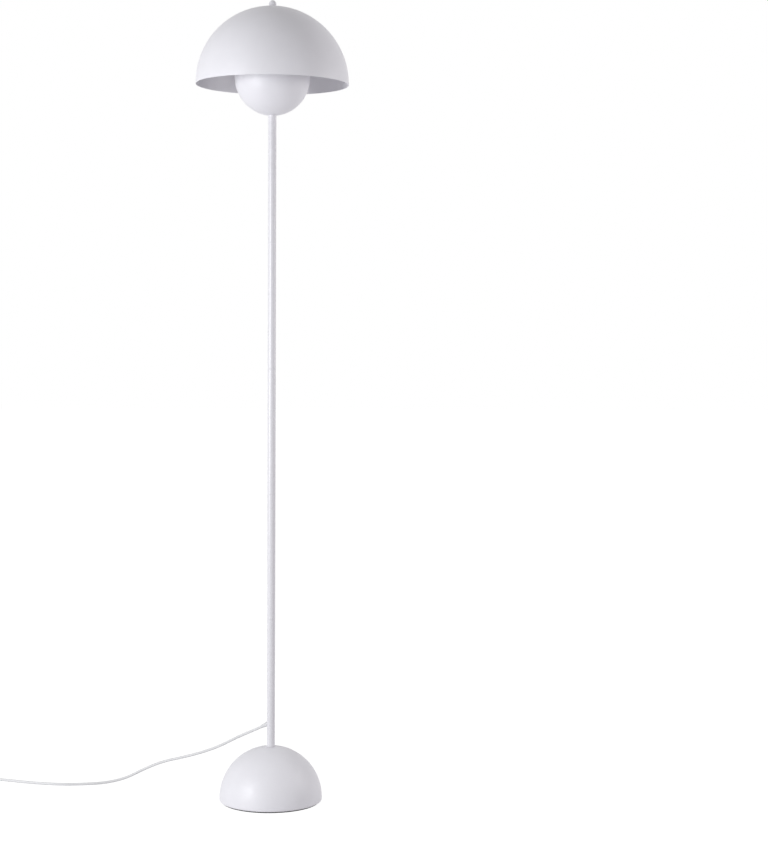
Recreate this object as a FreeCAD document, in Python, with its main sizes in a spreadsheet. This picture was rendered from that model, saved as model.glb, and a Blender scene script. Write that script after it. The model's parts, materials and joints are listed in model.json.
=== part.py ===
import FreeCAD, Part

# Mushroom floor lamp: a dome shade hung on a wire harp over a round lower bowl, a slim pole
# in five screwed lengths, a weighted dome foot, and a mains cord with a foot switch and a plug.
#
# Millimetres, +Z up.  The origin is the centre of the underside of the foot pad.  The cord
# leaves the pole low down, towards -X and +Y.

import math
import os

import Sketcher

V = FreeCAD.Vector
doc = FreeCAD.newDocument("MushroomFloorLamp")


# ---------------------------------------------------------------- driving dimensions

SIZES = (
    # foot
    ("pad_inset", 5.0, "foot pad inside the dome"),
    ("pad_thickness", 2.5, "foot pad"),
    ("foot_radius", 102.0, "dome of the foot, outside"),
    ("foot_wall", 1.5, "spun shell of the foot"),
    ("foot_centre_height", 8.0, "centre of the dome above the floor"),
    ("foot_lip_radius", 3.0, "rounding of the lower edge"),
    ("plate_thickness", 1.5, "steel plate under the weight"),
    ("plate_gap", 0.6, "plate inside the lip of the shell"),
    ("weight_gap", 10.5, "cast weight inside the shell"),
    ("weight_height", 24.0, "cast weight, without its boss"),
    ("weight_edge_radius", 8.0, "rounding of the top edge of the weight"),
    ("weight_boss_radius", 17.0, "boss under the weight nut"),
    ("weight_boss_height", 6.0, "boss above the weight"),
    ("plate_screw_circle_radius", 60.0, "where the three plate screws sit"),
    ("plate_screw_radius", 2.0, "M4 shank"),
    ("plate_screw_head_radius", 3.6, "countersunk head"),
    ("plate_screw_length", 14.0, "countersunk screw, overall"),
    # threads shared by the pole, the tie stud and the head
    ("thread_radius", 5.0, "M10 thread"),
    ("thread_gap", 0.05, "between a thread and its hole"),
    ("thread_wall", 1.3, "wall of a hollow stud"),
    ("nut_across_flats", 17.0, "M10 nut"),
    ("tie_nut_height", 8.0, "full nut on the weight"),
    ("crown_nut_height", 5.0, "thin nut under the crown"),
    ("crown_washer_radius", 14.0, "washer under the crown"),
    ("crown_washer_thickness", 1.5, "washer under the crown"),
    # pole
    ("pole_radius", 8.0, "tube, outside"),
    ("pole_wall", 1.2, "tube"),
    ("pole_foot_length", 255.0, "lowest length of tube"),
    ("pole_length", 248.75, "each of the four upper lengths"),
    ("pole_edge", 0.35, "broken edge that shows as the joint line"),
    ("crown_margin", 3.0, "flat ring of the foot round the pole"),
    ("insert_length", 12.0, "threaded insert in each tube end"),
    ("joint_stud_length", 22.0, "hollow stud through a pole joint"),
    # cord and its way out of the pole
    ("cord_diameter", 5.4, "two core round cord"),
    ("wire_diameter", 2.2, "one insulated core"),
    ("wire_spread", 1.4, "each core off the axis of the pole"),
    ("exit_height", 158.0, "where the axis of the cord meets the axis of the pole"),
    ("exit_azimuth", 132.0, "degrees from +X towards +Y"),
    ("exit_droop", 25.0, "degrees below level"),
    ("relief_skin", 0.5, "strain relief round the cord at its thin end"),
    ("relief_neck_wall", 1.4, "strain relief round the cord, through the wall"),
    ("relief_flange_lip", 0.9, "flange outside the neck of the relief"),
    ("relief_flange_thickness", 1.0, "strain relief, inside the wall"),
    ("relief_collar_lip", 0.7, "collar outside the neck of the relief"),
    ("relief_length", 20.0, "strain relief, outside the wall"),
    ("relief_gap", 0.1, "round the neck of the relief"),
    # head
    ("bowl_radius", 73.5, "lower bowl, outside"),
    ("bowl_wall", 1.0, "lower bowl"),
    ("bowl_skirt", 4.0, "straight part above the half ball"),
    ("bowl_flat_radius", 10.0, "flat under the bowl"),
    ("head_washer_thickness", 1.0, "washer in the bowl"),
    ("washer_margin", 0.3, "washer inside the flat of the bowl"),
    ("saddle_clearance", 0.9, "ends of the harp saddle above the bowl"),
    ("nipple_above", 5.0, "nipple inside the lampholder"),
    ("saddle_thickness", 1.5, "harp saddle, bent strip"),
    ("saddle_width", 12.0, "harp saddle"),
    ("saddle_shoulder", 5.0, "height of the wide upright ends"),
    ("saddle_tab_height", 14.0, "height of the narrow tabs"),
    ("saddle_tab_width", 4.0, "narrow tabs"),
    ("harp_foot_half", 27.0, "harp foot off the axis"),
    ("harp_half_width", 42.0, "harp leg off the axis"),
    ("harp_height", 199.4, "underside of the saddle to the top of the wire"),
    ("harp_foot_rise", 12.0, "straight foot of the wire"),
    ("harp_swell_rise", 30.0, "height in which the wire swings out"),
    ("harp_wire_radius", 2.0, "harp wire"),
    ("ferrule_radius", 4.0, "harp ferrule, outside"),
    ("ferrule_length", 16.0, "harp ferrule"),
    ("ferrule_gap", 0.15, "between the ferrule and the wire"),
    ("seat_radius", 8.0, "disc on top of the harp"),
    ("seat_thickness", 3.0, "disc on top of the harp"),
    ("seat_stud_radius", 3.0, "M6 stud"),
    ("seat_stud_length", 11.0, "M6 stud above the disc"),
    ("shade_radius", 150.0, "dome shade, outside"),
    ("shade_wall", 1.2, "dome shade"),
    ("shade_skirt", 2.0, "straight rim of the shade"),
    ("shade_crown_radius", 12.0, "flat on top of the shade"),
    ("shade_hole_gap", 0.3, "round the stud"),
    ("finial_washer_radius", 6.0, "washer under the finial"),
    ("finial_washer_thickness", 0.8, "washer under the finial"),
    ("finial_radius", 7.25, "round top of the finial"),
    ("finial_foot_radius", 6.7, "finial where it meets its washer"),
    ("finial_foot_height", 4.85, "from the washer to the widest part of the finial"),
    ("finial_edge", 0.3, "broken edge of the finial and of the holes in it"),
    # lampholder and bulb
    ("holder_room", 4.2, "lampholder round its screw shell"),
    ("holder_wall", 2.0, "lampholder"),
    ("holder_foot_radius", 13.0, "lampholder cap on the saddle"),
    ("holder_cap_flare", 9.0, "height in which the cap widens"),
    ("holder_cap_height", 20.0, "lampholder cap"),
    ("holder_body_height", 33.0, "lampholder body"),
    ("holder_mouth_gap", 2.3, "opening at the top, round the bulb cap"),
    ("insert_disc_thickness", 6.0, "insulating disc in the lampholder"),
    ("terminal_size", 6.0, "brass terminal block"),
    ("terminal_offset", 8.0, "terminal off the axis"),
    ("bulb_cap_radius", 13.2, "screw cap of the bulb"),
    ("bulb_cap_gap", 0.08, "between the bulb cap and the screw shell"),
    ("screw_shell_wall", 0.5, "screw shell"),
    ("screw_shell_height", 24.0, "screw shell"),
    ("centre_contact_height", 3.0, "centre contact"),
    ("bulb_seat_gap", 0.3, "between the two centre contacts"),
    ("bulb_radius", 30.0, "globe of the bulb"),
    ("bulb_contact_height", 2.0, "centre contact of the bulb"),
    ("bulb_insulator_height", 3.0, "black ring of the bulb"),
    ("bulb_cap_height", 21.0, "screw cap of the bulb"),
    ("bulb_neck_height", 40.0, "plastic neck of the bulb"),
    ("bulb_length", 107.0, "bulb, overall"),
    # foot switch
    ("switch_radius", 31.0, "foot switch, outside"),
    ("switch_wall", 2.0, "foot switch"),
    ("switch_split_height", 8.0, "where its halves meet, at the axis of the cord"),
    ("switch_side_height", 12.0, "top of the upright side"),
    ("switch_height", 21.5, "foot switch, without its button"),
    ("switch_shoulder_radius", 12.0, "rounding of the cover"),
    ("cover_land", 3.2, "flat ring of the cover round the button"),
    ("button_radius", 17.5, "foot button"),
    ("button_gap", 0.3, "round and over the button"),
    ("button_rise", 5.0, "button above the cover"),
    ("button_travel", 3.5, "how far the button goes down"),
    ("button_wall", 1.9, "foot button"),
    ("button_dome_radius", 150.0, "slightly domed top of the button"),
    ("button_edge_radius", 2.2, "rounding round the top of the button"),
    ("button_flange_thickness", 1.8, "ring that keeps the button in"),
    ("button_flange_lip", 1.7, "ring that keeps the button in, outside the button"),
    ("button_stem_radius", 3.5, "post under the button"),
    ("stem_gap", 0.5, "between the pressed post and the contact block"),
    ("spring_radius", 6.0, "spring, middle of the wire"),
    ("spring_wire_radius", 0.5, "spring wire"),
    ("block_height", 6.3, "contact block"),
    ("block_half_length", 11.0, "contact block"),
    ("block_half_width", 8.0, "contact block"),
    ("post_gap", 1.4, "screw posts inside the side wall"),
    ("post_radius", 3.2, "screw posts"),
    ("switch_screw_radius", 1.5, "housing screws"),
    # plug
    ("plug_length", 36.0, "flat plug"),
    ("plug_half_width", 12.9, "flat plug at its face"),
    ("plug_neck_half_width", 7.0, "flat plug at the cord"),
    ("plug_thickness", 13.7, "flat plug"),
    ("plug_edge", 2.5, "rounding of the plug"),
    ("pin_radius", 2.0, "plug pin"),
    ("pin_length", 19.0, "plug pin"),
    ("pin_spacing", 18.6, "between the two pins"),
    # coil of put away cord
    ("coil_inner_radius", 23.7, "innermost turn, middle of the cord"),
    ("coil_turn_gap", 1.3, "from one turn to the next"),
    ("coil_layer_gap", 0.5, "from one layer to the next"),
    ("coil_dip", 0.5, "how far the climbing half turn draws in"),
)


class Size:
    """A length with its number and the expression that works it out from the sheet."""

    def __init__(self, number, text=None):
        self.number = float(number)
        self.text = text or repr(float(number))

    def joined(self, sign, other, number):
        return Size(number, f"({self.text} {sign} {other.text})")

    def __add__(self, other):
        other = as_size(other)
        return self.joined("+", other, self.number + other.number)

    def __sub__(self, other):
        other = as_size(other)
        return self.joined("-", other, self.number - other.number)

    def __mul__(self, other):
        other = as_size(other)
        return self.joined("*", other, self.number * other.number)

    def __truediv__(self, other):
        other = as_size(other)
        return self.joined("/", other, self.number / other.number)

    def __neg__(self):
        return as_size(0) - self

    def __float__(self):
        return self.number


def as_size(thing):
    return thing if isinstance(thing, Size) else Size(thing)


def root(size):
    return Size(math.sqrt(size.number), f"sqrt({size.text})")


def cap_height(sphere_radius, ring_radius):
    """Height above its centre at which a sphere has a ring of that radius."""
    return root(sphere_radius * sphere_radius - ring_radius * ring_radius)


class Sheet:
    """The spreadsheet of driving dimensions, read by name."""

    def __init__(self, rows):
        self.cells = doc.addObject("Spreadsheet::Sheet", "Sizes")
        self.sizes = {}
        for row, (name, number, note) in enumerate(rows, start=1):
            self.cells.set(f"A{row}", name)
            self.cells.set(f"B{row}", str(number))
            self.cells.setAlias(f"B{row}", name)
            self.cells.set(f"C{row}", note)
            self.sizes[name] = Size(number, f"Sizes.{name}")

    def __getattr__(self, name):
        return self.sizes[name]


lamp = Sheet(SIZES)
doc.recompute()

NODES = {}


def keep(label, thing):
    """Note a finished piece under the name that its file gets."""
    thing.Label = label
    NODES[label] = thing
    return thing


# ---------------------------------------------------------------- how pieces are drawn

def origin_plane(body, role):
    for feature in body.Origin.OriginFeatures:
        if feature.Role == role:
            return feature
    raise ValueError(role)


def new_sketch(body, name, role):
    sketch = body.newObject("Sketcher::SketchObject", name)
    sketch.AttachmentSupport = [(origin_plane(body, role), "")]
    sketch.MapMode = "FlatFace"
    return sketch


def tie(sketch, kind, places, size):
    """Add a dimension that follows the sheet."""
    number = sketch.addConstraint(Sketcher.Constraint(kind, *places, float(size)))
    if isinstance(size, Size):
        sketch.setExpression(f"Constraints[{number}]", size.text)


def pin_point(sketch, edge, end, across, up):
    """Fix one point of the sketch, on an axis where its coordinate is a plain zero."""
    for kind, axis, size in (("DistanceX", -2, across), ("DistanceY", -1, up)):
        if isinstance(size, Size) or size != 0:
            tie(sketch, kind, (-1, 1, edge, end), size)
        else:
            sketch.addConstraint(Sketcher.Constraint("PointOnObject", edge, end, axis))


def arc_between(start, end, radius):
    """Arc of that radius, its centre left of the way from start to end, or right if negative."""
    middle = (start + end) * 0.5
    way = end - start
    half = way.Length / 2
    reach = math.sqrt(max(radius * radius - half * half, 0.0))
    left = V(-way.y, way.x, 0) / way.Length
    centre = middle + left * math.copysign(reach, radius)
    first, last = (start, end) if radius > 0 else (end, start)
    angles = [math.atan2(point.y - centre.y, point.x - centre.x) for point in (first, last)]
    if angles[1] < angles[0]:
        angles[1] += 2 * math.pi
    return Part.ArcOfCircle(Part.Circle(centre, V(0, 0, 1), abs(radius)), *angles)


def draw(sketch, corners, closed=True):
    """Draw an outline of corners (across, up).  A third value bends the edge that follows:
    its radius, with the centre on the left of the way, or on the right if it is negative."""
    spots = [V(float(corner[0]), float(corner[1]), 0) for corner in corners]
    count = len(corners) if closed else len(corners) - 1
    ends = []
    for number in range(count):
        corner = corners[number]
        start, end = spots[number], spots[(number + 1) % len(corners)]
        if len(corner) == 3:
            edge = sketch.addGeometry(arc_between(start, end, float(corner[2])), False)
            ends.append((edge, 1, 2) if float(corner[2]) > 0 else (edge, 2, 1))
        else:
            edge = sketch.addGeometry(Part.LineSegment(start, end), False)
            ends.append((edge, 1, 2))
    for number in range(count if closed else count - 1):
        here, following = ends[number], ends[(number + 1) % count]
        sketch.addConstraint(
            Sketcher.Constraint("Coincident", here[0], here[2], following[0], following[1]))
    for number in range(count):
        pin_point(sketch, ends[number][0], ends[number][1], *corners[number][:2])
    if not closed:
        pin_point(sketch, ends[-1][0], ends[-1][2], *corners[-1][:2])
    for number in range(count):
        if len(corners[number]) == 3:
            bend = corners[number][2]
            tie(sketch, "Radius", (ends[number][0],), bend if float(bend) > 0 else -bend)


def draw_circle(sketch, radius, across=0, up=0):
    spot = V(float(across), float(up), 0)
    edge = sketch.addGeometry(Part.Circle(spot, V(0, 0, 1), float(radius)), False)
    pin_point(sketch, edge, 3, across, up)
    tie(sketch, "Radius", (edge,), radius)


def place(thing, across=0, along=0, up=0, turn=None):
    """Set where a piece's own origin lies, and how it is turned."""
    spot = V(float(across), float(along), float(up))
    thing.Placement = FreeCAD.Placement(spot, turn or FreeCAD.Rotation())
    for letter, size in (("x", across), ("y", along), ("z", up)):
        if isinstance(size, Size):
            thing.setExpression(f"Placement.Base.{letter}", size.text)
    return thing


def lathe(label, outline):
    """A turned piece: half an outline (radius, height) spun about its own upright axis."""
    body = doc.addObject("PartDesign::Body", label)
    sketch = new_sketch(body, label + "_outline", "XZ_Plane")
    draw(sketch, outline)
    spin = body.newObject("PartDesign::Revolution", label + "_spin")
    spin.Profile = sketch
    spin.ReferenceAxis = (sketch, ["V_Axis"])
    spin.Angle = 360
    return body


def ring(label, inner, outer, height):
    return lathe(label, [(inner, 0), (outer, 0), (outer, height), (inner, height)])


def rod(label, radius, height):
    return lathe(label, [(0, 0), (radius, 0), (radius, height), (0, height)])


def pad(body, name, role, thickness, outlines=(), circles=(), midplane=False):
    """Raise outlines and circles from one of the body's own planes."""
    sketch = new_sketch(body, name + "_outline", role)
    for outline in outlines:
        draw(sketch, outline)
    for circle in circles:
        draw_circle(sketch, *circle)
    raised = body.newObject("PartDesign::Pad", name)
    raised.Profile = sketch
    raised.setExpression("Length", as_size(thickness).text)
    raised.Length = float(thickness)
    raised.Midplane = midplane
    return raised


def pocket(body, name, role, depth, circles, reverse=True):
    """Cut circles into a body from one of its own planes."""
    sketch = new_sketch(body, name + "_outline", role)
    for circle in circles:
        draw_circle(sketch, *circle)
    cut = body.newObject("PartDesign::Pocket", name)
    cut.Profile = sketch
    cut.setExpression("Length", as_size(depth).text)
    cut.Length = float(depth)
    cut.Reversed = reverse
    return cut


def rectangle(low_x, low_y, high_x, high_y):
    return [(low_x, low_y), (high_x, low_y), (high_x, high_y), (low_x, high_y)]


def hex_nut(label, across_flats, height, bore):
    """Hexagon with two flats facing +X and -X, and a round hole."""
    body = doc.addObject("PartDesign::Body", label)
    half = across_flats / 2
    tip = across_flats / root(as_size(3))
    side = tip / 2
    hexagon = [(half, side), (0, tip), (-half, side), (-half, -side), (0, -tip), (half, -side)]
    pad(body, label + "_pad", "XY_Plane", height, [hexagon], [(bore,)])
    return body


def cylinder(label, radius, height):
    tool = doc.addObject("Part::Cylinder", label)
    for name, size in (("Radius", radius), ("Height", height)):
        setattr(tool, name, float(size))
        tool.setExpression(name, as_size(size).text)
    return tool


def cut_away(label, base, tools):
    """The base less its tools, as one piece."""
    tool = tools[0]
    if len(tools) > 1:
        tool = doc.addObject("Part::Compound", label + "_tools")
        tool.Links = tools
    cut = doc.addObject("Part::Cut", label)
    cut.Base = base
    cut.Tool = tool
    return cut


def set_of(label, pieces):
    """Identical loose pieces that share one node."""
    group = doc.addObject("Part::Compound", label)
    group.Links = pieces
    return group


def around(radius, count, start=0.0):
    """Evenly spaced places on a circle, each (across, along)."""
    for number in range(count):
        angle = math.radians(start + 360.0 * number / count)
        yield radius * math.cos(angle), radius * math.sin(angle)


# ---------------------------------------------------------------- cords and wires

def direction(azimuth, droop):
    """Unit vector at that bearing from +X towards +Y, pointing down by the droop, in degrees."""
    bearing, fall = math.radians(azimuth), math.radians(droop)
    level = math.cos(fall)
    return V(level * math.cos(bearing), level * math.sin(bearing), -math.sin(fall))


def rounded_path(points, share=0.45):
    """Straight runs joined by tangent arcs.  Returns the wire and the radius of each arc."""
    edges, radii = [], []
    here = points[0]
    for before, corner, after in zip(points, points[1:], points[2:]):
        incoming, outgoing = (corner - before), (after - corner)
        turn = incoming.getAngle(outgoing)
        reach = share * min(incoming.Length, outgoing.Length)
        radius = reach / math.tan(turn / 2)
        way_in, way_out = incoming.normalize(), outgoing.normalize()
        first = corner - way_in * reach
        last = corner + way_out * reach
        inward = (way_out - way_in).normalize()
        centre = corner + inward * math.hypot(radius, reach)
        middle = centre - inward * radius
        edges.append(Part.LineSegment(here, first).toShape())
        edges.append(Part.Arc(first, middle, last).toShape())
        radii.append(radius)
        here = last
    edges.append(Part.LineSegment(here, points[-1]).toShape())
    return Part.Wire(edges), radii


def tube_along(wire, radius):
    """A round solid swept along a wire of tangent edges."""
    edge = wire.Edges[0]
    start = edge.firstVertex().Point
    way = edge.tangentAt(edge.FirstParameter)
    section = Part.Wire([Part.Circle(start, way, radius).toShape()])
    solid = wire.makePipeShell([section], True, False)
    if solid.Volume < 0:
        solid.reverse()
    return solid


def cord(label, points, diameter):
    """A free stretch of cord.  Prints its length, tightest bend and how its volume compares."""
    wire, radii = rounded_path(points)
    solid = tube_along(wire, diameter / 2)
    expected = math.pi * diameter ** 2 / 4 * wire.Length
    print(f"{label}: length {wire.Length:.1f}, radii {min(radii):.1f} to {max(radii):.1f}, "
          f"volume ratio {solid.Volume / expected:.5f}")
    piece = doc.addObject("Part::Feature", label)
    piece.Shape = solid
    return piece


def biarc(start, way_in, end, way_out):
    """Two tangent arcs from start to end with the given unit ways, in space."""
    chord = end - start
    both = way_in + way_out
    a = 2 * (1 - way_in.dot(way_out))
    b = 2 * chord.dot(both)
    c = -chord.dot(chord)
    reach = -c / b if abs(a) < 1e-9 else (-b + math.sqrt(b * b - 4 * a * c)) / (2 * a)
    joint = (start + end + (way_in - way_out) * reach) * 0.5
    edges = []
    for first, way, last in ((start, way_in, joint), (joint, None, end)):
        if way is None:
            way = (end - way_out * reach - joint).normalize()
        span = last - first
        across = span - way * span.dot(way)
        if across.Length < 1e-6:
            edges.append(Part.LineSegment(first, last).toShape())
            continue
        side = across.normalize()
        radius = span.dot(span) / (2 * span.dot(side))
        centre = first + side * radius
        middle = centre + ((first + last) * 0.5 - centre).normalize() * radius
        edges.append(Part.Arc(first, middle, last).toShape())
    return edges


def wound_tube(label, stations, tube_radius, start_lead=None, end_lead=None):
    """One unbroken wound tube on biarcs through stations (point, unit way), with straight
    leads at its ends."""
    edges = []
    if start_lead:
        point, way = stations[0]
        edges.append(Part.LineSegment(point - way * start_lead, point).toShape())
    for (start, way_in), (end, way_out) in zip(stations, stations[1:]):
        edges.extend(biarc(start, way_in, end, way_out))
    if end_lead:
        point, way = stations[-1]
        edges.append(Part.LineSegment(point, point + way * end_lead).toShape())
    wire = Part.Wire(edges)
    solid = tube_along(wire, tube_radius)
    gap = least_gap(wire, tube_radius)
    expected = math.pi * tube_radius ** 2 * wire.Length
    print(f"{label}: length {wire.Length:.1f}, least gap to itself {gap:.2f}, "
          f"volume ratio {solid.Volume / expected:.5f}")
    piece = doc.addObject("Part::Feature", label)
    piece.Shape = solid
    return piece


def least_gap(wire, tube_radius, spacing=1.0):
    """Smallest space between two stretches of a wound tube, measured on points."""
    count = int(wire.Length / spacing)
    points = wire.discretize(Number=count)
    skip = int(math.pi * 4 * tube_radius / spacing)
    best = 1e9
    for number, point in enumerate(points):
        for other in points[number + skip:]:
            best = min(best, point.distanceToPoint(other))
    return best - 2 * tube_radius


# ---------------------------------------------------------------- strain reliefs

relief_tip_radius = lamp.cord_diameter / 2 + lamp.relief_skin
relief_neck_radius = lamp.cord_diameter / 2 + lamp.relief_neck_wall
relief_flange_radius = relief_neck_radius + lamp.relief_flange_lip
relief_collar_radius = relief_neck_radius + lamp.relief_collar_lip


def strain_relief(label, flange_end, neck_end, tip):
    """Moulded relief drawn along its own axis: a flange behind the wall, a neck through it
    and a ringed taper outside."""
    flange_start = flange_end - lamp.relief_flange_thickness
    collar_end = neck_end + 2.4
    rings = 3
    pitch = (tip - collar_end) / (rings * 2 + 1)
    taper = (relief_collar_radius - 0.4 - relief_tip_radius) / (rings * 2 + 1)
    groove = Size(0.55)
    outline = [
        (0, flange_start),
        (relief_flange_radius, flange_start),
        (relief_flange_radius, flange_end),
        (relief_neck_radius, flange_end),
        (relief_neck_radius, neck_end),
        (relief_collar_radius, neck_end),
        (relief_collar_radius, collar_end),
    ]
    for number in range(rings * 2 + 1):
        outer = relief_tip_radius + taper * (rings * 2 + 1 - number)
        low = collar_end + pitch * number
        radius = outer if number % 2 == 0 else outer - groove
        outline.append((radius, low))
        outline.append((radius, low + pitch))
    outline.append((0, tip))
    return lathe(label, outline)


# ================================================================ the foot

shell_floor = lamp.pad_thickness
crown_height = lamp.foot_centre_height + cap_height(
    lamp.foot_radius, lamp.pole_radius + lamp.crown_margin)
stud_hole = lamp.thread_radius + lamp.thread_gap
stud_bore = lamp.thread_radius - lamp.thread_wall


def make_foot_pad():
    keep("foot_pad", rod("foot_pad", lamp.foot_radius - lamp.pad_inset, lamp.pad_thickness))


def make_foot_shell():
    outer, wall, lip = lamp.foot_radius, lamp.foot_wall, lamp.foot_lip_radius
    middle = lamp.foot_centre_height
    inner = outer - wall
    under_crown = crown_height - wall
    inner_flat = cap_height(inner, under_crown - middle)
    outline = [
        (stud_hole, under_crown),
        (inner_flat, under_crown, -inner),
        (inner, middle),
        (inner, shell_floor + lip, -(lip - wall)),
        (outer - lip, shell_floor + wall),
        (outer - lip, shell_floor, lip),
        (outer, shell_floor + lip),
        (outer, middle, outer),
        (lamp.pole_radius + lamp.crown_margin, crown_height),
        (stud_hole, crown_height),
    ]
    keep("foot_shell", lathe("foot_shell", outline))


plate_top = shell_floor + lamp.plate_thickness
weight_top = plate_top + lamp.weight_height
boss_top = weight_top + lamp.weight_boss_height


def plate_screw(number, across, along):
    """Countersunk screw, drawn head down."""
    head, shank = lamp.plate_screw_head_radius, lamp.plate_screw_radius
    taper = lamp.plate_thickness
    outline = [(0, 0), (head, 0), (shank, taper), (shank, lamp.plate_screw_length),
               (0, lamp.plate_screw_length)]
    screw = lathe(f"plate_screw_{number}", outline)
    return place(screw, across, along, shell_floor)


def plate_screw_places():
    return list(around(lamp.plate_screw_circle_radius.number, 3, start=90.0))


def countersink(number, across, along):
    hole = doc.addObject("Part::Cone", f"countersink_{number}")
    for name, size in (("Radius1", lamp.plate_screw_head_radius + lamp.thread_gap),
                       ("Radius2", lamp.plate_screw_radius + lamp.thread_gap),
                       ("Height", lamp.plate_thickness)):
        setattr(hole, name, float(size))
        hole.setExpression(name, size.text)
    return place(hole, across, along, shell_floor)


def make_foot_plate():
    radius = lamp.foot_radius - lamp.foot_lip_radius - lamp.plate_gap
    disc = place(rod("foot_plate_disc", radius, lamp.plate_thickness), up=shell_floor)
    sinks = [countersink(number, *spot)
             for number, spot in enumerate(plate_screw_places(), start=1)]
    keep("foot_plate", cut_away("foot_plate", disc, sinks))
    screws = [plate_screw(number, *spot)
              for number, spot in enumerate(plate_screw_places(), start=1)]
    keep("plate_screws", set_of("plate_screws", screws))


def make_foot_weight():
    edge, boss = lamp.weight_edge_radius, lamp.weight_boss_radius
    height, radius = lamp.weight_height, lamp.foot_radius - lamp.foot_wall - lamp.weight_gap
    outline = [
        (stud_hole, 0),
        (radius, 0),
        (radius, height - edge, edge),
        (radius - edge, height),
        (boss + 2, height),
        (boss, height + lamp.weight_boss_height),
        (stud_hole, height + lamp.weight_boss_height),
    ]
    casting = place(lathe("foot_weight_casting", outline), up=plate_top)
    holes = []
    for number, (across, along) in enumerate(plate_screw_places(), start=1):
        hole = cylinder(f"weight_hole_{number}", lamp.plate_screw_radius + lamp.thread_gap,
                        lamp.plate_screw_length)
        holes.append(place(hole, across, along, plate_top - 1))
    keep("foot_weight", cut_away("foot_weight", casting, holes))


def make_foot_tie():
    """The stud that ties weight, shell and pole together, with its nuts and washer."""
    stud_top = crown_height + lamp.insert_length - 0.5
    stud = rod("tie_stud", lamp.thread_radius, stud_top - plate_top - 1)
    keep("tie_stud", place(stud, up=plate_top + 1))
    weight_nut = hex_nut("weight_nut", lamp.nut_across_flats, lamp.tie_nut_height, stud_hole)
    keep("weight_nut", place(weight_nut, up=boss_top))
    washer = ring("crown_washer", stud_hole + 0.2, lamp.crown_washer_radius,
                  lamp.crown_washer_thickness)
    inner_ball = lamp.foot_radius - lamp.foot_wall
    seat = lamp.foot_centre_height + cap_height(inner_ball, lamp.crown_washer_radius)
    washer_top = seat - 0.05
    keep("crown_washer", place(washer, up=washer_top - lamp.crown_washer_thickness))
    crown_nut = hex_nut("crown_nut", lamp.nut_across_flats, lamp.crown_nut_height, stud_hole)
    nut_top = washer_top - lamp.crown_washer_thickness
    keep("crown_nut", place(crown_nut, up=nut_top - lamp.crown_nut_height))


# ================================================================ the pole

bore = lamp.pole_radius - lamp.pole_wall
pole_joints = [crown_height, crown_height + lamp.pole_foot_length]
for _ in range(4):
    pole_joints.append(pole_joints[-1] + lamp.pole_length)
pole_top = pole_joints[-1]
exit_way = direction(lamp.exit_azimuth.number, lamp.exit_droop.number)
exit_turn = FreeCAD.Rotation(V(0, 0, 1), exit_way)


def pole_tube(label, length):
    edge, outer = lamp.pole_edge, lamp.pole_radius
    outline = [(bore, 0), (outer - edge, 0), (outer, edge), (outer, length - edge),
               (outer - edge, length), (bore, length)]
    return lathe(label, outline)


def make_pole():
    for number in range(1, 6):
        low = pole_joints[number - 1]
        if number == 1:
            tube = place(pole_tube("pole_section_1_tube", lamp.pole_foot_length), up=low)
            hole = cylinder("cord_hole", relief_neck_radius + lamp.relief_gap,
                            lamp.pole_radius * 2)
            place(hole, up=lamp.exit_height, turn=exit_turn)
            tube = cut_away("pole_section_1", tube, [hole])
        else:
            tube = place(pole_tube(f"pole_section_{number}", lamp.pole_length), up=low)
        keep(f"pole_section_{number}", tube)
    inserts = []
    for number, (low, high) in enumerate(zip(pole_joints, pole_joints[1:]), start=1):
        for side, height in (("lower", low), ("upper", high - lamp.insert_length)):
            piece = ring(f"pole_insert_{number}_{side}", stud_hole, bore, lamp.insert_length)
            inserts.append(place(piece, up=height))
    keep("pole_thread_inserts", set_of("pole_thread_inserts", inserts))
    for number, height in enumerate(pole_joints[1:-1], start=1):
        stud = ring(f"pole_joint_stud_{number}", stud_bore, lamp.thread_radius,
                    lamp.joint_stud_length)
        keep(f"pole_joint_stud_{number}", place(stud, up=height - lamp.joint_stud_length / 2))


droop_angle = math.radians(lamp.exit_droop.number)
relief_flange_end = cap_height(bore - lamp.relief_gap, relief_flange_radius)
relief_inside = relief_flange_end - lamp.relief_flange_thickness
wall_clearance = relief_collar_radius * math.tan(droop_angle) + lamp.relief_gap * 2
relief_neck_end = lamp.pole_radius / math.cos(droop_angle) + wall_clearance
relief_tip = relief_neck_end + lamp.relief_length


def make_pole_relief():
    relief = strain_relief("cord_strain_relief", relief_flange_end, relief_neck_end, relief_tip)
    place(relief, up=lamp.exit_height, turn=exit_turn)
    keep("cord_strain_relief", relief)


# ================================================================ the head

bowl_rise = cap_height(lamp.bowl_radius, lamp.bowl_flat_radius)
bowl_inner_flat = cap_height(lamp.bowl_radius - lamp.bowl_wall, bowl_rise - lamp.bowl_wall)
washer_floor = pole_top + lamp.bowl_wall
nut_floor = washer_floor + lamp.head_washer_thickness
saddle_end = lamp.harp_foot_half + lamp.saddle_thickness / 2
saddle_corner = root(saddle_end * saddle_end + lamp.saddle_width * lamp.saddle_width / 4)
bowl_under_saddle = bowl_rise - cap_height(lamp.bowl_radius - lamp.bowl_wall, saddle_corner)
saddle_floor = pole_top + bowl_under_saddle + lamp.saddle_clearance
holder_floor = saddle_floor + lamp.saddle_thickness
nipple_top = holder_floor + lamp.nipple_above
harp_base = saddle_floor + lamp.saddle_tab_height
seat_floor = saddle_floor + lamp.harp_height
seat_top = seat_floor + lamp.seat_thickness
shade_ball_rise = cap_height(lamp.shade_radius, lamp.shade_crown_radius)
shade_top = seat_top + lamp.shade_wall
shade_floor = shade_top - shade_ball_rise - lamp.shade_skirt


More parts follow.
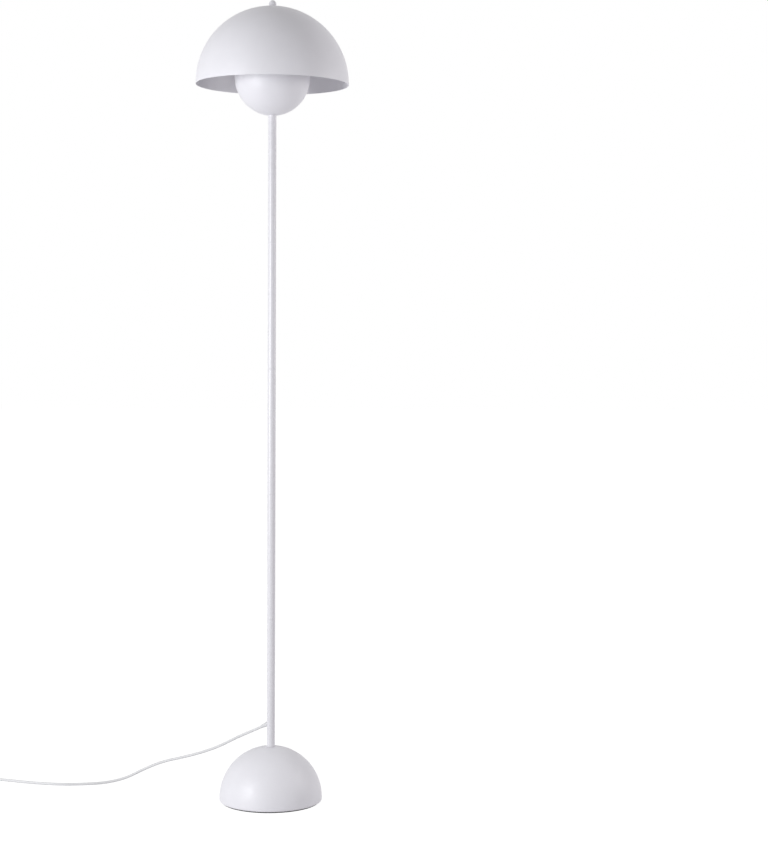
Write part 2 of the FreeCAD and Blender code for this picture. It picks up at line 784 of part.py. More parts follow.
def make_bowl():
    outer, wall = lamp.bowl_radius, lamp.bowl_wall
    inner = outer - wall
    rim = bowl_rise + lamp.bowl_skirt
    outline = [
        (stud_hole, 0),
        (lamp.bowl_flat_radius, 0, outer),
        (outer, bowl_rise),
        (outer, rim),
        (inner, rim),
        (inner, bowl_rise, -inner),
        (bowl_inner_flat, wall),
        (stud_hole, wall),
    ]
    keep("lower_bowl", place(lathe("lower_bowl", outline), up=pole_top))


def make_head_fasteners():
    nipple_floor = pole_top - lamp.insert_length + 1
    nipple = ring("head_nipple", stud_bore, lamp.thread_radius,
                  nipple_top - nipple_floor)
    keep("head_nipple", place(nipple, up=nipple_floor))
    washer = ring("bowl_washer", stud_hole, bowl_inner_flat - lamp.washer_margin,
                  lamp.head_washer_thickness)
    keep("bowl_washer", place(washer, up=washer_floor))
    nut = hex_nut("bowl_lock_nut", lamp.nut_across_flats, saddle_floor - nut_floor, stud_hole)
    keep("bowl_lock_nut", place(nut, up=nut_floor))


def make_harp_saddle():
    body = doc.addObject("PartDesign::Body", "harp_saddle")
    thick, half = lamp.saddle_thickness, lamp.harp_foot_half
    out, inside = saddle_end, half - thick / 2
    strip = [(-out, 0), (out, 0), (out, lamp.saddle_shoulder), (inside, lamp.saddle_shoulder),
             (inside, thick), (-inside, thick), (-inside, lamp.saddle_shoulder),
             (-out, lamp.saddle_shoulder)]
    pad(body, "saddle_strip", "XZ_Plane", lamp.saddle_width, [strip], midplane=True)
    tabs = [rectangle(inside, thick, out, lamp.saddle_tab_height),
            rectangle(-out, thick, -inside, lamp.saddle_tab_height)]
    pad(body, "saddle_tabs", "XZ_Plane", lamp.saddle_tab_width, tabs, midplane=True)
    pocket(body, "saddle_hole", "XY_Plane", thick * 2, [(stud_hole,)])
    keep("harp_saddle", place(body, up=saddle_floor))


def make_harp():
    """One wire: straight feet, a swing out to the legs, and a half round top."""
    body = doc.addObject("PartDesign::Body", "harp")
    foot, leg = lamp.harp_foot_half, lamp.harp_half_width
    rise, swell = lamp.harp_foot_rise, lamp.harp_swell_rise
    top = lamp.harp_height - lamp.saddle_tab_height - lamp.harp_wire_radius
    aside = leg - foot
    swing = (aside * aside + swell * swell) / (aside * 4)
    middle_x = (foot + leg) / 2
    middle_z = rise + swell / 2
    shoulder = top - leg
    path = [
        (-foot, 0),
        (-foot, rise, swing),
        (-middle_x, middle_z, -swing),
        (-leg, rise + swell),
        (-leg, shoulder, -leg),
        (0, top, -leg),
        (leg, shoulder),
        (leg, rise + swell, -swing),
        (middle_x, middle_z, swing),
        (foot, rise),
        (foot, 0),
    ]
    spine = new_sketch(body, "harp_path", "XZ_Plane")
    draw(spine, path, closed=False)
    section = new_sketch(body, "harp_section", "XY_Plane")
    draw_circle(section, lamp.harp_wire_radius, -foot, 0)
    doc.recompute()
    wire = body.newObject("PartDesign::AdditivePipe", "harp_wire")
    wire.Profile = section
    wire.Spine = (spine, [f"Edge{number}" for number in range(1, len(path))])
    keep("harp", place(body, up=harp_base))
    ferrules = []
    for side, sign in (("left", -1), ("right", 1)):
        sleeve = ring(f"harp_ferrule_{side}", lamp.harp_wire_radius + lamp.ferrule_gap,
                      lamp.ferrule_radius, lamp.ferrule_length)
        ferrules.append(place(sleeve, foot * sign, 0, harp_base - lamp.ferrule_length / 2))
    keep("harp_ferrules", set_of("harp_ferrules", ferrules))


def make_harp_seat():
    thick, stud = lamp.seat_thickness, lamp.seat_stud_radius
    top = thick + lamp.seat_stud_length
    outline = [(0, 0), (lamp.seat_radius, 0), (lamp.seat_radius, thick), (stud, thick),
               (stud, top), (0, top)]
    keep("harp_seat", place(lathe("harp_seat", outline), up=seat_floor))


def make_shade():
    outer, wall = lamp.shade_radius, lamp.shade_wall
    inner, skirt = outer - wall, lamp.shade_skirt
    top = skirt + shade_ball_rise
    hole = lamp.seat_stud_radius + lamp.shade_hole_gap
    inner_flat = cap_height(inner, top - wall - skirt)
    outline = [
        (inner, 0),
        (outer, 0),
        (outer, skirt, outer),
        (lamp.shade_crown_radius, top),
        (hole, top),
        (hole, top - wall),
        (inner_flat, top - wall, -inner),
        (inner, skirt),
    ]
    keep("outer_shade", place(lathe("outer_shade", outline), up=shade_floor))
    washer = ring("finial_washer", hole, lamp.finial_washer_radius,
                  lamp.finial_washer_thickness)
    keep("finial_washer", place(washer, up=shade_top))


def make_finial():
    """Blind knob nut: a half ball on a waist that draws in a little to its foot."""
    ball, foot, waist = lamp.finial_radius, lamp.finial_foot_radius, lamp.finial_foot_height
    edge = lamp.finial_edge
    hole = lamp.seat_stud_radius + lamp.thread_gap
    narrowing, side = ball - foot, waist - edge
    flank = (narrowing * narrowing + side * side) / (narrowing * 2)
    depth = lamp.seat_stud_length - lamp.shade_wall - lamp.finial_washer_thickness + 0.5
    outline = [
        (hole + edge, 0),
        (foot - edge, 0),
        (foot, edge, flank),
        (ball, waist, ball),
        (0, waist + ball),
        (0, depth),
        (hole, depth),
        (hole, edge),
    ]
    finial = lathe("finial_ball", outline)
    keep("finial_ball", place(finial, up=shade_top + lamp.finial_washer_thickness))


# ================================================================ lampholder and bulb

shell_radius = lamp.bulb_cap_radius + lamp.bulb_cap_gap + lamp.screw_shell_wall
holder_radius = shell_radius + lamp.holder_room + lamp.holder_wall
disc_floor = holder_floor + lamp.holder_cap_height
shell_seat = disc_floor + lamp.insert_disc_thickness
bulb_floor = shell_seat + lamp.centre_contact_height + lamp.bulb_seat_gap


def make_lampholder():
    outer, wall = holder_radius, lamp.holder_wall
    foot, flare, height = lamp.holder_foot_radius, lamp.holder_cap_flare, lamp.holder_cap_height
    bend = Size(16)
    cap = [
        (stud_hole, 0),
        (foot, 0, bend),
        (outer, flare),
        (outer, height),
        (outer - wall, height),
        (outer - wall, flare, -(bend - wall)),
        (foot - 0.4, wall),
        (stud_hole, wall),
    ]
    keep("lampholder_cap", place(lathe("lampholder_cap", cap), up=holder_floor))
    tall, mouth = lamp.holder_body_height, lamp.bulb_cap_radius + lamp.holder_mouth_gap
    sleeve = [
        (outer - wall, 0),
        (outer, 0),
        (outer, tall - wall),
        (outer - wall / 2, tall),
        (mouth, tall),
        (mouth, tall - wall),
        (outer - wall, tall - wall),
    ]
    keep("lampholder_body", place(lathe("lampholder_body", sleeve), up=disc_floor))
    disc = rod("lampholder_insert", outer - wall - 0.1, lamp.insert_disc_thickness)
    keep("lampholder_insert", place(disc, up=disc_floor))
    terminals = []
    size = lamp.terminal_size
    for side, sign in (("left", -1), ("right", 1)):
        block = doc.addObject("PartDesign::Body", f"terminal_{side}")
        corners = rectangle(-size / 2, -size / 2, size / 2, size / 2)
        pad(block, f"terminal_{side}_pad", "XY_Plane", size, [corners])
        terminals.append(place(block, lamp.terminal_offset * sign, 0, disc_floor - size))
    keep("lampholder_terminals", set_of("lampholder_terminals", terminals))
    thin = lamp.screw_shell_wall
    inside = shell_radius - thin
    tube = [
        (inside - 5, 0),
        (shell_radius, 0),
        (shell_radius, lamp.screw_shell_height),
        (inside, lamp.screw_shell_height),
        (inside, thin),
        (inside - 5, thin),
    ]
    keep("lampholder_screw_shell", place(lathe("lampholder_screw_shell", tube), up=shell_seat))
    button = [(0, 0), (4.5, 0), (4.5, 0.8), (2.6, lamp.centre_contact_height),
              (0, lamp.centre_contact_height)]
    keep("lampholder_centre_contact",
         place(lathe("lampholder_centre_contact", button), up=shell_seat))


def make_bulb():
    radius, cap = lamp.bulb_radius, lamp.bulb_cap_radius
    contact, insulator = lamp.bulb_contact_height, lamp.bulb_insulator_height
    cap_floor = contact + insulator
    neck_floor = cap_floor + lamp.bulb_cap_height
    globe_floor = neck_floor + lamp.bulb_neck_height
    tip = [(0, 0), (3.6, 0), (4.6, contact), (0, contact)]
    keep("bulb_contact", place(lathe("bulb_contact", tip), up=bulb_floor))
    black = [(0, contact), (5, contact), (9, cap_floor), (0, cap_floor)]
    keep("bulb_insulator", place(lathe("bulb_insulator", black), up=bulb_floor))
    screw = [(0, cap_floor), (9.2, cap_floor), (cap, cap_floor + 3), (cap, neck_floor),
             (0, neck_floor)]
    keep("bulb_screw_cap", place(lathe("bulb_screw_cap", screw), up=bulb_floor))
    swell = Size(80)
    neck = [(0, neck_floor), (cap + 0.6, neck_floor), (cap + 1.2, neck_floor + 6, -swell),
            (radius - 0.6, globe_floor), (0, globe_floor)]
    keep("bulb_neck", place(lathe("bulb_neck", neck), up=bulb_floor))
    centre = lamp.bulb_length - radius
    start = root(radius * radius - (centre - globe_floor) * (centre - globe_floor))
    dome = [(0, globe_floor), (start, globe_floor, radius), (radius, centre, radius),
            (0, lamp.bulb_length)]
    keep("bulb_globe", place(lathe("bulb_globe", dome), up=bulb_floor))


# ================================================================ foot switch

switch_place = V(-691.0, 203.0, 0.0)
inside_wall = lamp.switch_radius - lamp.switch_wall


def at_switch(thing, up=0, across=0, along=0):
    """Place a piece of the foot switch, which lies on the floor."""
    spot = (as_size(across) + switch_place.x, as_size(along) + switch_place.y, up)
    return place(thing, *spot)


def switch_notch(label):
    """Round way for the two strain reliefs through both halves of the housing."""
    notch = cylinder(label, relief_neck_radius + lamp.relief_gap, lamp.switch_radius * 2 + 4)
    turn = FreeCAD.Rotation(V(0, 1, 0), 90)
    start = as_size(switch_place.x) - lamp.switch_radius - 2
    return place(notch, start, as_size(switch_place.y), lamp.switch_split_height, turn)


def post_places():
    offset = inside_wall - lamp.post_radius - lamp.post_gap
    return (("front", -offset), ("back", offset))


def make_switch_housing():
    outer, split, wall = lamp.switch_radius, lamp.switch_split_height, lamp.switch_wall
    dish = [
        (0, 0),
        (outer - 1.5, 0, Size(1.5)),
        (outer, 1.5),
        (outer, split),
        (inside_wall, split),
        (inside_wall, wall),
        (0, wall),
    ]
    base = at_switch(lathe("switch_base_dish", dish))
    posts = [at_switch(cylinder(f"base_post_{side}", lamp.post_radius, split), along=offset)
             for side, offset in post_places()]
    joined = doc.addObject("Part::MultiFuse", "switch_base_solid")
    joined.Shapes = [base] + posts
    bores = [at_switch(cylinder(f"base_bore_{side}", lamp.switch_screw_radius + 0.2, split + 2),
                       -1, along=offset) for side, offset in post_places()]
    sinks = [at_switch(cylinder(f"base_sink_{side}", lamp.switch_screw_radius * 2, 3), -1,
                       along=offset) for side, offset in post_places()]
    tools = bores + sinks + [switch_notch("base_notch")]
    keep("switch_base", cut_away("switch_base", joined, tools))

    side_top, top = lamp.switch_side_height, lamp.switch_height
    hole = lamp.button_radius + lamp.button_gap
    shoulder, land = lamp.switch_shoulder_radius, hole + lamp.cover_land
    dome = [
        (outer, split),
        (outer, side_top, shoulder),
        (land, top),
        (hole, top),
        (hole, top - wall),
        (land - 0.6, top - wall, -(shoulder - wall + 0.5)),
        (inside_wall, side_top),
        (inside_wall, split),
    ]
    cover = at_switch(lathe("switch_cover_dome", dome))
    pillars = [at_switch(cylinder(f"cover_post_{side}", lamp.post_radius, 8), split + 0.1,
                         along=offset) for side, offset in post_places()]
    joined = doc.addObject("Part::MultiFuse", "switch_cover_solid")
    joined.Shapes = [cover] + pillars
    bores = [at_switch(cylinder(f"cover_bore_{side}", lamp.switch_screw_radius + 0.02, 6),
                       split - 0.5, along=offset) for side, offset in post_places()]
    tools = bores + [switch_notch("cover_notch")]
    keep("switch_cover", cut_away("switch_cover", joined, tools))


def make_switch_screws():
    radius = lamp.switch_screw_radius
    outline = [(0, 0), (radius * 1.8, 0), (radius * 1.8, 1.6), (radius, 1.6), (radius, 11),
               (0, 11)]
    screws = [at_switch(lathe(f"switch_screw_{side}", outline), 0.4, along=offset)
              for side, offset in post_places()]
    keep("switch_screws", set_of("switch_screws", screws))


block_top = lamp.switch_wall + lamp.block_height
button_hollow = lamp.switch_height + lamp.button_rise - 3.2


def make_switch_button():
    radius, wall = lamp.button_radius, lamp.button_wall
    flange_top = lamp.switch_height - lamp.switch_wall - lamp.button_gap
    low = flange_top - lamp.button_flange_thickness
    crown = lamp.switch_height + lamp.button_rise
    edge, dome = lamp.button_edge_radius, lamp.button_dome_radius
    shoulder = crown - dome + cap_height(dome, radius - edge)
    stem_floor = block_top + lamp.button_travel + lamp.stem_gap
    outline = [
        (0, stem_floor),
        (lamp.button_stem_radius, stem_floor),
        (lamp.button_stem_radius, button_hollow),
        (radius - wall, button_hollow),
        (radius - wall, low),
        (radius + lamp.button_flange_lip, low),
        (radius + lamp.button_flange_lip, flange_top),
        (radius, flange_top),
        (radius, shoulder - edge, edge),
        (radius - edge, shoulder, dome),
        (0, crown),
    ]
    keep("switch_button", at_switch(lathe("switch_button", outline)))


def make_switch_inside():
    body = doc.addObject("PartDesign::Body", "switch_contact_block")
    half, wide = lamp.block_half_length, lamp.block_half_width
    pad(body, "contact_block_pad", "XY_Plane", lamp.block_height,
        [rectangle(-half, -wide, half, wide)])
    keep("switch_contact_block", at_switch(body, lamp.switch_wall))
    blades = []
    for side, sign in (("inlet", 1), ("outlet", -1)):
        blade = doc.addObject("PartDesign::Body", f"contact_blade_{side}")
        near, far = half * sign, (half + 7) * sign
        low, high = (near, far) if sign > 0 else (far, near)
        pad(blade, f"contact_blade_{side}_pad", "XY_Plane", 1, [rectangle(low, -2.5, high, 2.5)])
        blades.append(at_switch(blade, lamp.switch_wall + 2))
    keep("switch_contact_blades", set_of("switch_contact_blades", blades))


def make_switch_spring():
    """Upright spring between the contact block and the hollow of the button."""
    radius, wire = lamp.spring_radius.number, lamp.spring_wire_radius.number
    low = block_top.number + wire + 0.05
    high = button_hollow.number - wire - 0.05
    turns, quarter = 5, math.pi / 2
    stations = []
    steps = turns * 4
    climb = (high - low) / steps
    for number in range(steps + 1):
        angle = quarter * number
        flat = number in (0, steps)
        height = low + climb * number
        point = V(radius * math.cos(angle), radius * math.sin(angle), height)
        way = V(-math.sin(angle) * radius * quarter, math.cos(angle) * radius * quarter,
                0 if flat else climb)
        stations.append((point + switch_place, way.normalize()))
    keep("switch_spring", wound_tube("switch_spring", stations, wire))


relief_reach = lamp.switch_radius + 0.3 + lamp.relief_length


def make_switch_reliefs():
    flange_end = cap_height(inside_wall - lamp.relief_gap, relief_flange_radius)
    for side, sign in (("inlet", 1), ("outlet", -1)):
        label = f"switch_{side}_relief"
        relief = strain_relief(label, flange_end, relief_reach - lamp.relief_length,
                               relief_reach)
        turn = FreeCAD.Rotation(V(0, 0, 1), V(sign, 0, 0))
        place(relief, as_size(switch_place.x), as_size(switch_place.y),
              lamp.switch_split_height, turn)
        keep(label, relief)


# ================================================================ plug

plug_back = V(-674.0, 278.0, 0.0)
plug_axis = lamp.plug_thickness / 2


def make_plug():
    body = doc.addObject("PartDesign::Body", "plug_body")
    length, wide, narrow = lamp.plug_length, lamp.plug_half_width, lamp.plug_neck_half_width
    outline = [(0, -narrow), (length * 0.3, -narrow - 1), (length * 0.6, -wide), (length, -wide),
               (length, wide), (length * 0.6, wide), (length * 0.3, narrow + 1), (0, narrow)]
    raised = pad(body, "plug_pad", "XY_Plane", lamp.plug_thickness, [outline])
    doc.recompute()
    soft = body.newObject("PartDesign::Fillet", "plug_edges")
    soft.Base = (raised, [f"Edge{number}" for number in range(1, len(raised.Shape.Edges) + 1)])
    soft.Radius = lamp.plug_edge.number
    soft.setExpression("Radius", lamp.plug_edge.text)
    keep("plug_body", place(body, as_size(plug_back.x), as_size(plug_back.y), 0))
    pins = []
    lying = FreeCAD.Rotation(V(0, 1, 0), 90)
    radius, reach = lamp.pin_radius, lamp.pin_length
    outline = [(0, 0), (radius, 0), (radius, reach - 1.2, Size(1.2)), (radius - 1.2, reach),
               (0, reach)]
    for side, sign in (("front", -1), ("back", 1)):
        pin = lathe(f"plug_pin_{side}", outline)
        pins.append(place(pin, length + plug_back.x, lamp.pin_spacing / 2 * sign + plug_back.y,
                          plug_axis, lying))
    keep("plug_pins", set_of("plug_pins", pins))
    steps, start = 3, lamp.relief_length
    outline = [(0, 0), (relief_tip_radius, 0)]
    for number in range(1, steps + 1):
        wide = relief_tip_radius + 0.5 * number
        high = start * number / steps
        outline += [(wide, high - 3), (wide, high)]
    outline.append((0, start))
    sleeve = lathe("plug_strain_relief", outline)
    place(sleeve, as_size(plug_back.x) - start, as_size(plug_back.y), plug_axis, lying)
    keep("plug_strain_relief", sleeve)


# ================================================================ cord

cord_half = lamp.cord_diameter.number / 2
coil_turns = 2
coil_turn_step = (lamp.cord_diameter + lamp.coil_turn_gap).number
coil_layer_step = (lamp.cord_diameter + lamp.coil_layer_gap).number
coil_outer = lamp.coil_inner_radius.number + coil_turn_step * coil_turns
coil_centre = V(-795.0, switch_place.y + coil_outer, cord_half)


def coil_station(turn):
    """Point and unit way of the coil after so many turns: in on the floor, a half turn that
    climbs one layer, and out again on top.  Seen from above it winds clockwise from -Y."""
    inner, step = lamp.coil_inner_radius.number, coil_turn_step
    layer, climb = coil_layer_step, 0.5
    ends = (0, coil_turns, coil_turns + climb, 2 * coil_turns + climb)
    angle = -math.pi / 2 - 2 * math.pi * turn
    lift = min(max((turn - coil_turns) / climb, 0.0), 1.0)
    height = layer * (1 - math.cos(math.pi * lift)) / 2
    rising = layer * math.sin(math.pi * lift) / 2 / (2 * climb)
    if turn <= coil_turns:
        radius, growing = inner + step * (coil_turns - turn), -step
    elif turn < coil_turns + climb:
        radius, growing = inner - lamp.coil_dip.number * math.sin(math.pi * lift), 0.0
    else:
        radius, growing = inner + step * (turn - coil_turns - climb), step
    if any(abs(turn - end) < 1e-6 for end in ends):
        growing = 0.0
    point = coil_centre + V(radius * math.cos(angle), radius * math.sin(angle), height)
    outward = V(math.cos(angle), math.sin(angle), 0)
    onward = V(math.sin(angle), -math.cos(angle), 0)
    way = onward * (2 * math.pi * radius) + outward * growing + V(0, 0, rising * 2 * math.pi)
    return point, way.normalize()


def make_cords():
    diameter = lamp.cord_diameter.number
    tip = V(0, 0, lamp.exit_height.number) + exit_way * relief_tip.number
    inlet = switch_place + V(relief_reach.number, 0, lamp.switch_split_height.number)
    outlet = switch_place + V(-relief_reach.number, 0, lamp.switch_split_height.number)
    first_run = 24.0
    lying = cord_half + 0.1
    run = [tip, tip + exit_way * first_run]
    run += [V(*spot) for spot in (
        (-68, 63, 115), (-102, 84, 93), (-141, 104, 75), (-182, 122, 61), (-223, 139, 49),
        (-262, 150, 31), (-300, 154, 11), (-341, 150, lying + 0.3), (-382, 142, lying),
        (-424, 140.5, lying), (-465, 149, lying), (-505, 163, lying), (-544, 181, lying),
        (-580, 196, lying), (-603, 202, lying + 1.8))]
    run += [inlet + V(14, 0, 0), inlet]
    keep("cord_run", cord("cord_run", run, diameter))

    first, way = coil_station(0)
    lead = [outlet, outlet + V(-9, 0, 0)]
    lead += [V(-768, 203.6, lying + 1.8), first - way * (diameter + 8.4), first - way * diameter]
    keep("cord_lead", cord("cord_lead", lead, diameter))

    quarters = int((2 * coil_turns + 0.5) * 4)
    stations = [coil_station(number / 4) for number in range(quarters + 1)]
    keep("cord_coil",
         wound_tube("cord_coil", stations, cord_half, start_lead=diameter, end_lead=diameter))

    last, way = coil_station(quarters / 4)
    plug_tip = plug_back + V(-lamp.relief_length.number, 0, plug_axis.number)
    tail = [last + way * diameter, last + way * (diameter + 9)]
    tail += [V(-762, 278.6, lying + 2.8), V(-742, 279.2, lying + 0.2), V(-722, 278.8, lying + 1.4)]
    tail += [plug_tip + V(-10, 0, 0), plug_tip]
    keep("cord_tail", cord("cord_tail", tail, diameter))


def make_wires():
    """The two cores, from the strain relief up the pole to the terminals."""
    aside = V(0, 0, 1).cross(exit_way).normalize()
    height = lamp.exit_height.number
    spread = lamp.wire_spread.number
    inside = exit_way * relief_inside.number + V(0, 0, height)
    terminal_floor = disc_floor.number - lamp.terminal_size.number
    radius = lamp.wire_diameter.number / 2
    for label, sign in (("live_wire", -1), ("neutral_wire", 1)):
        off = aside * (spread * sign)
        top_side = V(-lamp.terminal_offset.number * sign, 0, 0)
        points = [inside + off, V(0, 0, height) + off,
                  V(off.x, off.y, nipple_top.number + 1.5),
                  top_side + V(0, 0, terminal_floor - 3.5),
                  top_side + V(0, 0, terminal_floor)]
        wire, _ = rounded_path(points)
        solid = tube_along(wire, radius)
        expected = math.pi * radius ** 2 * wire.Length
        print(f"{label}: length {wire.Length:.1f}, volume ratio {solid.Volume / expected:.5f}")
        piece = doc.addObject("Part::Feature", label)
        piece.Shape = solid
        keep(label, piece)


# ================================================================ build and write

make_foot_pad()
make_foot_shell()
make_foot_plate()
make_foot_weight()
make_foot_tie()
make_pole()
make_pole_relief()
make_bowl()
make_head_fasteners()
make_harp_saddle()
make_harp()
make_harp_seat()
make_shade()
make_finial()
make_lampholder()
make_bulb()
make_switch_housing()
make_switch_screws()
make_switch_button()
make_switch_inside()
make_switch_spring()
make_switch_reliefs()
make_plug()
make_cords()
make_wires()
doc.recompute()

faults = [f"{thing.Name} {thing.State}" for thing in doc.Objects
          if "Invalid" in thing.State or "Error" in thing.State]
for label, thing in NODES.items():
    shape = thing.Shape
    if shape.isNull() or not shape.isValid() or not shape.Solids:
        faults.append(f"{label} has no sound solid")
if faults:
    raise RuntimeError("; ".join(faults))

os.makedirs("parts", exist_ok=True)
for label, thing in NODES.items():
    thing.Shape.exportStep(f"parts/{label}.step")
print(len(NODES), "nodes written")
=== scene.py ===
# %% [markdown]
# # A mushroom floor lamp
# A dome shade hangs on a wire harp over a round lower bowl, on a slim pole with a weighted dome
# foot. Nearly all of it is turned or spun metal under white paint, so nearly every piece here
# is a profile carried round an axis. The engineering model is loaded first and gives every
# place and size. What shows gets a finer surface and a finish of its own.

# %% Load the frame
import json
import math

import bpy
import numpy as np
from mathutils import Matrix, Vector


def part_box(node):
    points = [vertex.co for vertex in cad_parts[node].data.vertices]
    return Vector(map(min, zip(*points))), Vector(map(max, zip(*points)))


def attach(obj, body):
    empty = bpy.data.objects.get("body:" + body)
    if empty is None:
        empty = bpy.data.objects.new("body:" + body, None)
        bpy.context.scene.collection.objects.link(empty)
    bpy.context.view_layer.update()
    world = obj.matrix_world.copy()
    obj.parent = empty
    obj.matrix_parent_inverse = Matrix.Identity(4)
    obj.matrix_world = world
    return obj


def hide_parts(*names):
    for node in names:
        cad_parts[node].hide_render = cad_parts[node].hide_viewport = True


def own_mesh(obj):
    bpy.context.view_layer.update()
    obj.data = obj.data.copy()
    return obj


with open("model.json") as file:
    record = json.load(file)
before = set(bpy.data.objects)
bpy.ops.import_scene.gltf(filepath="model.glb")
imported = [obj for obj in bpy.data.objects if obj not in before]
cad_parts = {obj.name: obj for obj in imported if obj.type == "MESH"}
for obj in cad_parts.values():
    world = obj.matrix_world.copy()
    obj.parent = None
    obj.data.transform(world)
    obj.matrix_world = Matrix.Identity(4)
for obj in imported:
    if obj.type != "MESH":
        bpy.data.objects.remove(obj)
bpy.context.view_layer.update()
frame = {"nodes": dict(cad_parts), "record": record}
MM = 0.001


def node_box(node):
    """Lowest and highest corner of an engineering node, as two arrays in metres."""
    low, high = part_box(node)
    return np.array(low), np.array(high)


def placed(name, data):
    """A new object in the scene."""
    thing = bpy.data.objects.new(name, data)
    bpy.context.collection.objects.link(thing)
    return thing


def turn_to(thing, x, y, z, spot):
    """Stand an object at a spot with its own axes along x, y and z."""
    pose = np.eye(4)
    pose[:3, :4] = np.column_stack([x, y, z, spot])
    thing.matrix_world = Matrix(pose.tolist())


# %% [markdown]
# ## The camera comes first
# A camera fitted to the photograph stands 3.66 m in front of the pole and 0.925 m up, with a
# long lens. Yaw, pitch and roll come from the rim, the bowl, the pole and the foot, so the lens
# needs no shift and vertical lines lean as they do in the picture.

# %% The camera
LONG_SIDE, SENSOR = 842, 36.0
focal_pixels = 1851.0
NEAREST, FARTHEST = 0.05, 60.0
camera_spot = (0.0, -3.663, 0.925)
yaw, pitch, roll = (math.radians(v) for v in (3.478, -2.587, 0.294))

forward = np.array([math.sin(yaw) * math.cos(pitch), math.cos(yaw) * math.cos(pitch),
                    math.sin(pitch)])
level_right = np.array([math.cos(yaw), -math.sin(yaw), 0.0])
level_up = np.cross(level_right, forward)
right = math.cos(roll) * level_right + math.sin(roll) * level_up
up = math.cos(roll) * level_up - math.sin(roll) * level_right

camera = placed("camera", bpy.data.cameras.new("camera"))
camera.data.sensor_width = SENSOR
camera.data.lens = focal_pixels / LONG_SIDE * SENSOR
camera.data.clip_start, camera.data.clip_end = NEAREST, FARTHEST
turn_to(camera, right, up, -forward, camera_spot)
bpy.context.scene.camera = camera
print("lens", round(camera.data.lens, 2), "mm")

# %% [markdown]
# ## Finishes from a few shared effects
# Paint, plating, rubber and plastic differ in how their colour, gloss and surface change over a
# few millimetres. Small node groups make those changes and every finish uses them with its own
# numbers: `tint` drifts between two close colours, `mottling` drifts the roughness, and `grain`
# is the relief that a Bump node reads, with `drawn_grain` for drawn metal. They are groups so
# that a better noise improves every finish at once. What is the same all over a piece stays on
# the shader's own socket.

# %% Shared effects
TINT_DETAIL, MOTTLING_DETAIL, GRAIN_DETAIL = 4.0, 2.0, 3.0
NOISE_LOW, NOISE_HIGH = 0.3, 0.7
EVEN, DRAWN_OUT = (1, 1, 1), (1, 1, 0.04)


def set_sockets(node, **values):
    """Set inputs of a node by their names, with _ for a space."""
    for label, value in values.items():
        node.inputs[label.replace("_", " ")].default_value = value
    return node


def effect_group(name, sockets, build):
    """A node group with the named sockets, filled by build(nodes, links, inputs, outputs)."""
    group = bpy.data.node_groups.new(name, "ShaderNodeTree")
    for label, way, kind in sockets:
        group.interface.new_socket(label, in_out=way, socket_type=kind)
    nodes, links = group.nodes, group.links
    build(nodes, links, nodes.new("NodeGroupInput").outputs, nodes.new("NodeGroupOutput").inputs)
    return group


def object_noise(nodes, links, scale, detail, stretch=EVEN):
    """Noise on Object coordinates, drawn out along an axis where stretch is small."""
    place = nodes.new("ShaderNodeTexCoord")
    mapping = set_sockets(nodes.new("ShaderNodeMapping"), Scale=stretch)
    noise = set_sockets(nodes.new("ShaderNodeTexNoise"), Detail=detail)
    links.new(place.outputs["Object"], mapping.inputs["Vector"])
    links.new(mapping.outputs["Vector"], noise.inputs["Vector"])
    links.new(scale, noise.inputs["Scale"])
    return noise.outputs["Fac"]


def spread_noise(nodes, links, scale, detail):
    """Noise whose middle, where nearly all of it lies, is eased out to the whole range."""
    spread = nodes.new("ShaderNodeMapRange")
    spread.interpolation_type = "SMOOTHSTEP"
    set_sockets(spread, From_Min=NOISE_LOW, From_Max=NOISE_HIGH)
    links.new(object_noise(nodes, links, scale, detail), spread.inputs["Value"])
    return spread


def build_tint(nodes, links, inputs, outputs):
    """Colour A and Colour B mixed by the spread noise."""
    mix = nodes.new("ShaderNodeMix")
    mix.data_type = "RGBA"
    spread = spread_noise(nodes, links, inputs["Scale"], TINT_DETAIL)
    links.new(spread.outputs["Result"], mix.inputs["Factor"])
    links.new(inputs["Colour A"], mix.inputs["A"])
    links.new(inputs["Colour B"], mix.inputs["B"])
    links.new(mix.outputs["Result"], outputs["Colour"])


def build_mottling(nodes, links, inputs, outputs):
    """A value between Low and High that follows the spread noise."""
    spread = spread_noise(nodes, links, inputs["Scale"], MOTTLING_DETAIL)
    links.new(inputs["Low"], spread.inputs["To Min"])
    links.new(inputs["High"], spread.inputs["To Max"])
    links.new(spread.outputs["Result"], outputs["Value"])


def grain_builder(stretch):
    """A builder for the height of a fine noise, even or drawn out along the axis."""
    def build(nodes, links, inputs, outputs):
        height = object_noise(nodes, links, inputs["Scale"], GRAIN_DETAIL, stretch)
        links.new(height, outputs["Height"])
    return build


COLOUR, NUMBER = "NodeSocketColor", "NodeSocketFloat"
TINT_SOCKETS = [("Colour A", "INPUT", COLOUR), ("Colour B", "INPUT", COLOUR),
                ("Scale", "INPUT", NUMBER), ("Colour", "OUTPUT", COLOUR)]
MOTTLING_SOCKETS = [("Low", "INPUT", NUMBER), ("High", "INPUT", NUMBER),
                    ("Scale", "INPUT", NUMBER), ("Value", "OUTPUT", NUMBER)]
GRAIN_SOCKETS = [("Scale", "INPUT", NUMBER), ("Height", "OUTPUT", NUMBER)]
TINT = effect_group("tint", TINT_SOCKETS, build_tint)
MOTTLING = effect_group("mottling", MOTTLING_SOCKETS, build_mottling)
GRAIN = effect_group("grain", GRAIN_SOCKETS, grain_builder(EVEN))
DRAWN = effect_group("drawn_grain", GRAIN_SOCKETS, grain_builder(DRAWN_OUT))
FINISHES = {}
print("effects", [group.name for group in bpy.data.node_groups])


